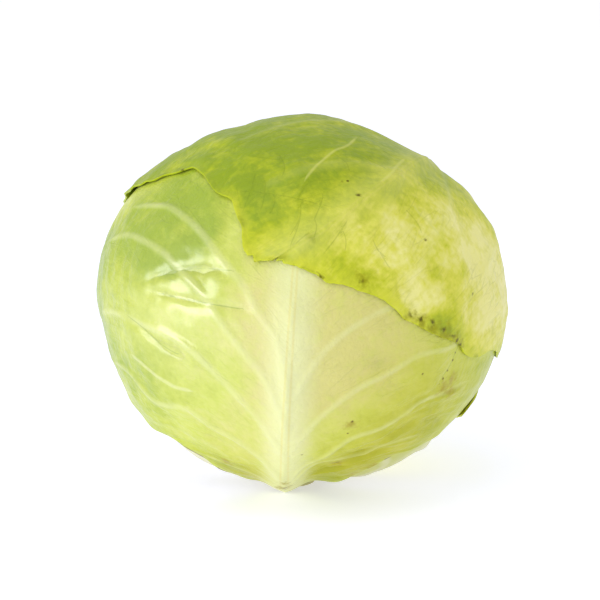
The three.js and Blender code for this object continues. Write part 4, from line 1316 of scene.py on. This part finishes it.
# %% The stem's material: pale pith, a ring of woody strands and a browned rind
def stem_paint():
    material = bpy.data.materials.new("Cut stem")
    material.use_nodes = True
    tree = material.node_tree
    shader = tree.nodes["Principled BSDF"]
    out = mark(tree, "from_middle")
    ragged = maths(tree, "ADD", out, use_group(tree, "blotch", Size=0.004, Detail=3.0, Strength=0.10))
    colour = colour_ramp(
        tree, ragged,
        [(0.0, (226, 219, 178)), (0.50, (220, 210, 160)), (0.68, (186, 168, 110)), (0.80, (214, 206, 140)),
         (0.93, (160, 138, 84)), (1.0, (198, 194, 132))],
    )
    strands = use_group(tree, "speck", Spacing=0.0016, Size=0.5, Share=0.8)
    ring = times(tree, ramp(tree, out, 0.6, 0.68), ramp(tree, out, 0.78, 0.86, 1.0, 0.0))
    colour = mix(tree, times(tree, strands, times(tree, ring, 0.6)), colour, srgb(138, 112, 62))
    stain = ramp(tree, use_group(tree, "blotch", Size=0.009, Detail=4.0, Strength=1.0), 0.0, 0.5)
    colour = mix(tree, times(tree, stain, 0.45), colour, srgb(158, 128, 76))
    tree.links.new(colour, shader.inputs["Base Color"])
    shader.inputs["Roughness"].default_value = 0.75
    position = add_node(tree, "ShaderNodeTexCoord").outputs["Object"]
    grain = add_node(tree, "ShaderNodeTexNoise", {"Vector": position, "Scale": 1400.0, "Detail": 4.0}).outputs["Fac"]
    height = maths(tree, "ADD", grain, times(tree, strands, ring))
    relief = add_node(tree, "ShaderNodeBump", {"Strength": 0.5, "Distance": 0.0003, "Height": height})
    tree.links.new(relief.outputs["Normal"], shader.inputs["Normal"])
    return material


stem.data.materials.append(stem_paint())

# %% Put the small veins in the blades and the heart
for name, piece in {**blades, "heart": heart}.items():
    finish = SLOTS.get(name, name)
    look = LOOKS[finish]
    with_small_veins(piece, PAINTS[finish], look["cell"], look["wander"], look["relief"])
print("small veins are in", len(blades) + 1, "pieces")

# %% [markdown]
# Every piece stands for one solid of the frame
#
# The frame's solids stay in the physics model. Each fine piece rides on the one body, and the solid that it stands
# for is hidden from view and render.

# %% Tie the pieces to the frame
for name, piece in blades.items():
    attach(piece, "root")
    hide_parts(name)
for piece, name in ((heart, "heart"), (stem, "stem")):
    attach(piece, "root")
    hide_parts(name)

# %% [markdown]
# The studio
#
# The photograph is taken a little from above, about 12 degrees, from about a metre away, on white. The floor is
# white and glows a little, and so does the world round it, so the head casts only a faint shadow. The floor is a
# little blue, to make up for the green light that the head throws on it. A large soft light stands low on the
# left, which gives the front leaf its sheen, and a weaker one above.

# %% Floor and world
floor_mesh = bpy.data.meshes.new("studio_floor")
SIDE = 20.0  # metres from the middle
FLOOR_WHITE, FLOOR_GLOW, SKY = (0.76, 0.77, 1.0, 1), 0.44, 0.74
floor_mesh.from_pydata([(-SIDE, -SIDE, 0), (SIDE, -SIDE, 0), (SIDE, SIDE, 0), (-SIDE, SIDE, 0)], [], [(0, 1, 2, 3)])
floor = bpy.data.objects.new("studio_floor", floor_mesh)
bpy.context.scene.collection.objects.link(floor)
floor_paint = bpy.data.materials.new("Studio floor")
floor_paint.use_nodes = True
shader = floor_paint.node_tree.nodes["Principled BSDF"]
shader.inputs["Base Color"].default_value = FLOOR_WHITE
shader.inputs["Roughness"].default_value = 0.9
shader.inputs["Specular IOR Level"].default_value = 0.1
shader.inputs["Emission Color"].default_value = (1, 1, 1, 1)
shader.inputs["Emission Strength"].default_value = FLOOR_GLOW
floor_mesh.materials.append(floor_paint)

world = bpy.data.worlds.new("Studio")
bpy.context.scene.world = world
world.use_nodes = True
sky = world.node_tree.nodes["Background"]
sky.inputs["Color"].default_value = (1, 1, 1, 1)
seen = add_node(world.node_tree, "ShaderNodeLightPath").outputs["Is Camera Ray"]
world.node_tree.links.new(ramp(world.node_tree, seen, 0.0, 1.0, SKY, 1.0), sky.inputs["Strength"])
bpy.context.scene.view_settings.view_transform = "Standard"


# %% Lights
def soft_light(name, around, height, distance, size, power):
    """A square lamp that looks at the middle of the head from an angle round it and above the floor."""
    target = Vector((0, 0, 0.08))
    a, h = math.radians(around), math.radians(height)
    lamp = bpy.data.lights.new(name, "AREA")
    lamp.shape, lamp.size, lamp.energy = "SQUARE", size, power
    light = bpy.data.objects.new(name, lamp)
    light.location = target + distance * Vector((math.sin(a) * math.cos(h), -math.cos(a) * math.cos(h), math.sin(h)))
    light.rotation_euler = (target - light.location).to_track_quat("-Z", "Y").to_euler()
    bpy.context.scene.collection.objects.link(light)
    return light


lights = [soft_light("key", -60, 12, 1.5, 0.75, 7.5), soft_light("top", -20, 70, 1.6, 0.8, 3)]
print("lights:", {light.name: light.data.energy for light in lights})

# %% The camera
CAMERA_HEIGHT, CAMERA_DISTANCE, FOCAL = 12.5, 1.0, 129.8
AIM = Vector((-0.00139, 0.0, 0.0865))

height = math.radians(CAMERA_HEIGHT)
lens = bpy.data.cameras.new("camera")
lens.lens = FOCAL
camera = bpy.data.objects.new("camera", lens)
camera.location = AIM + CAMERA_DISTANCE * Vector((0, -math.cos(height), math.sin(height)))
camera.rotation_euler = (AIM - camera.location).to_track_quat("-Z", "Y").to_euler()
bpy.context.scene.collection.objects.link(camera)
bpy.context.scene.camera = camera
print("camera at", [round(c, 3) for c in camera.location])
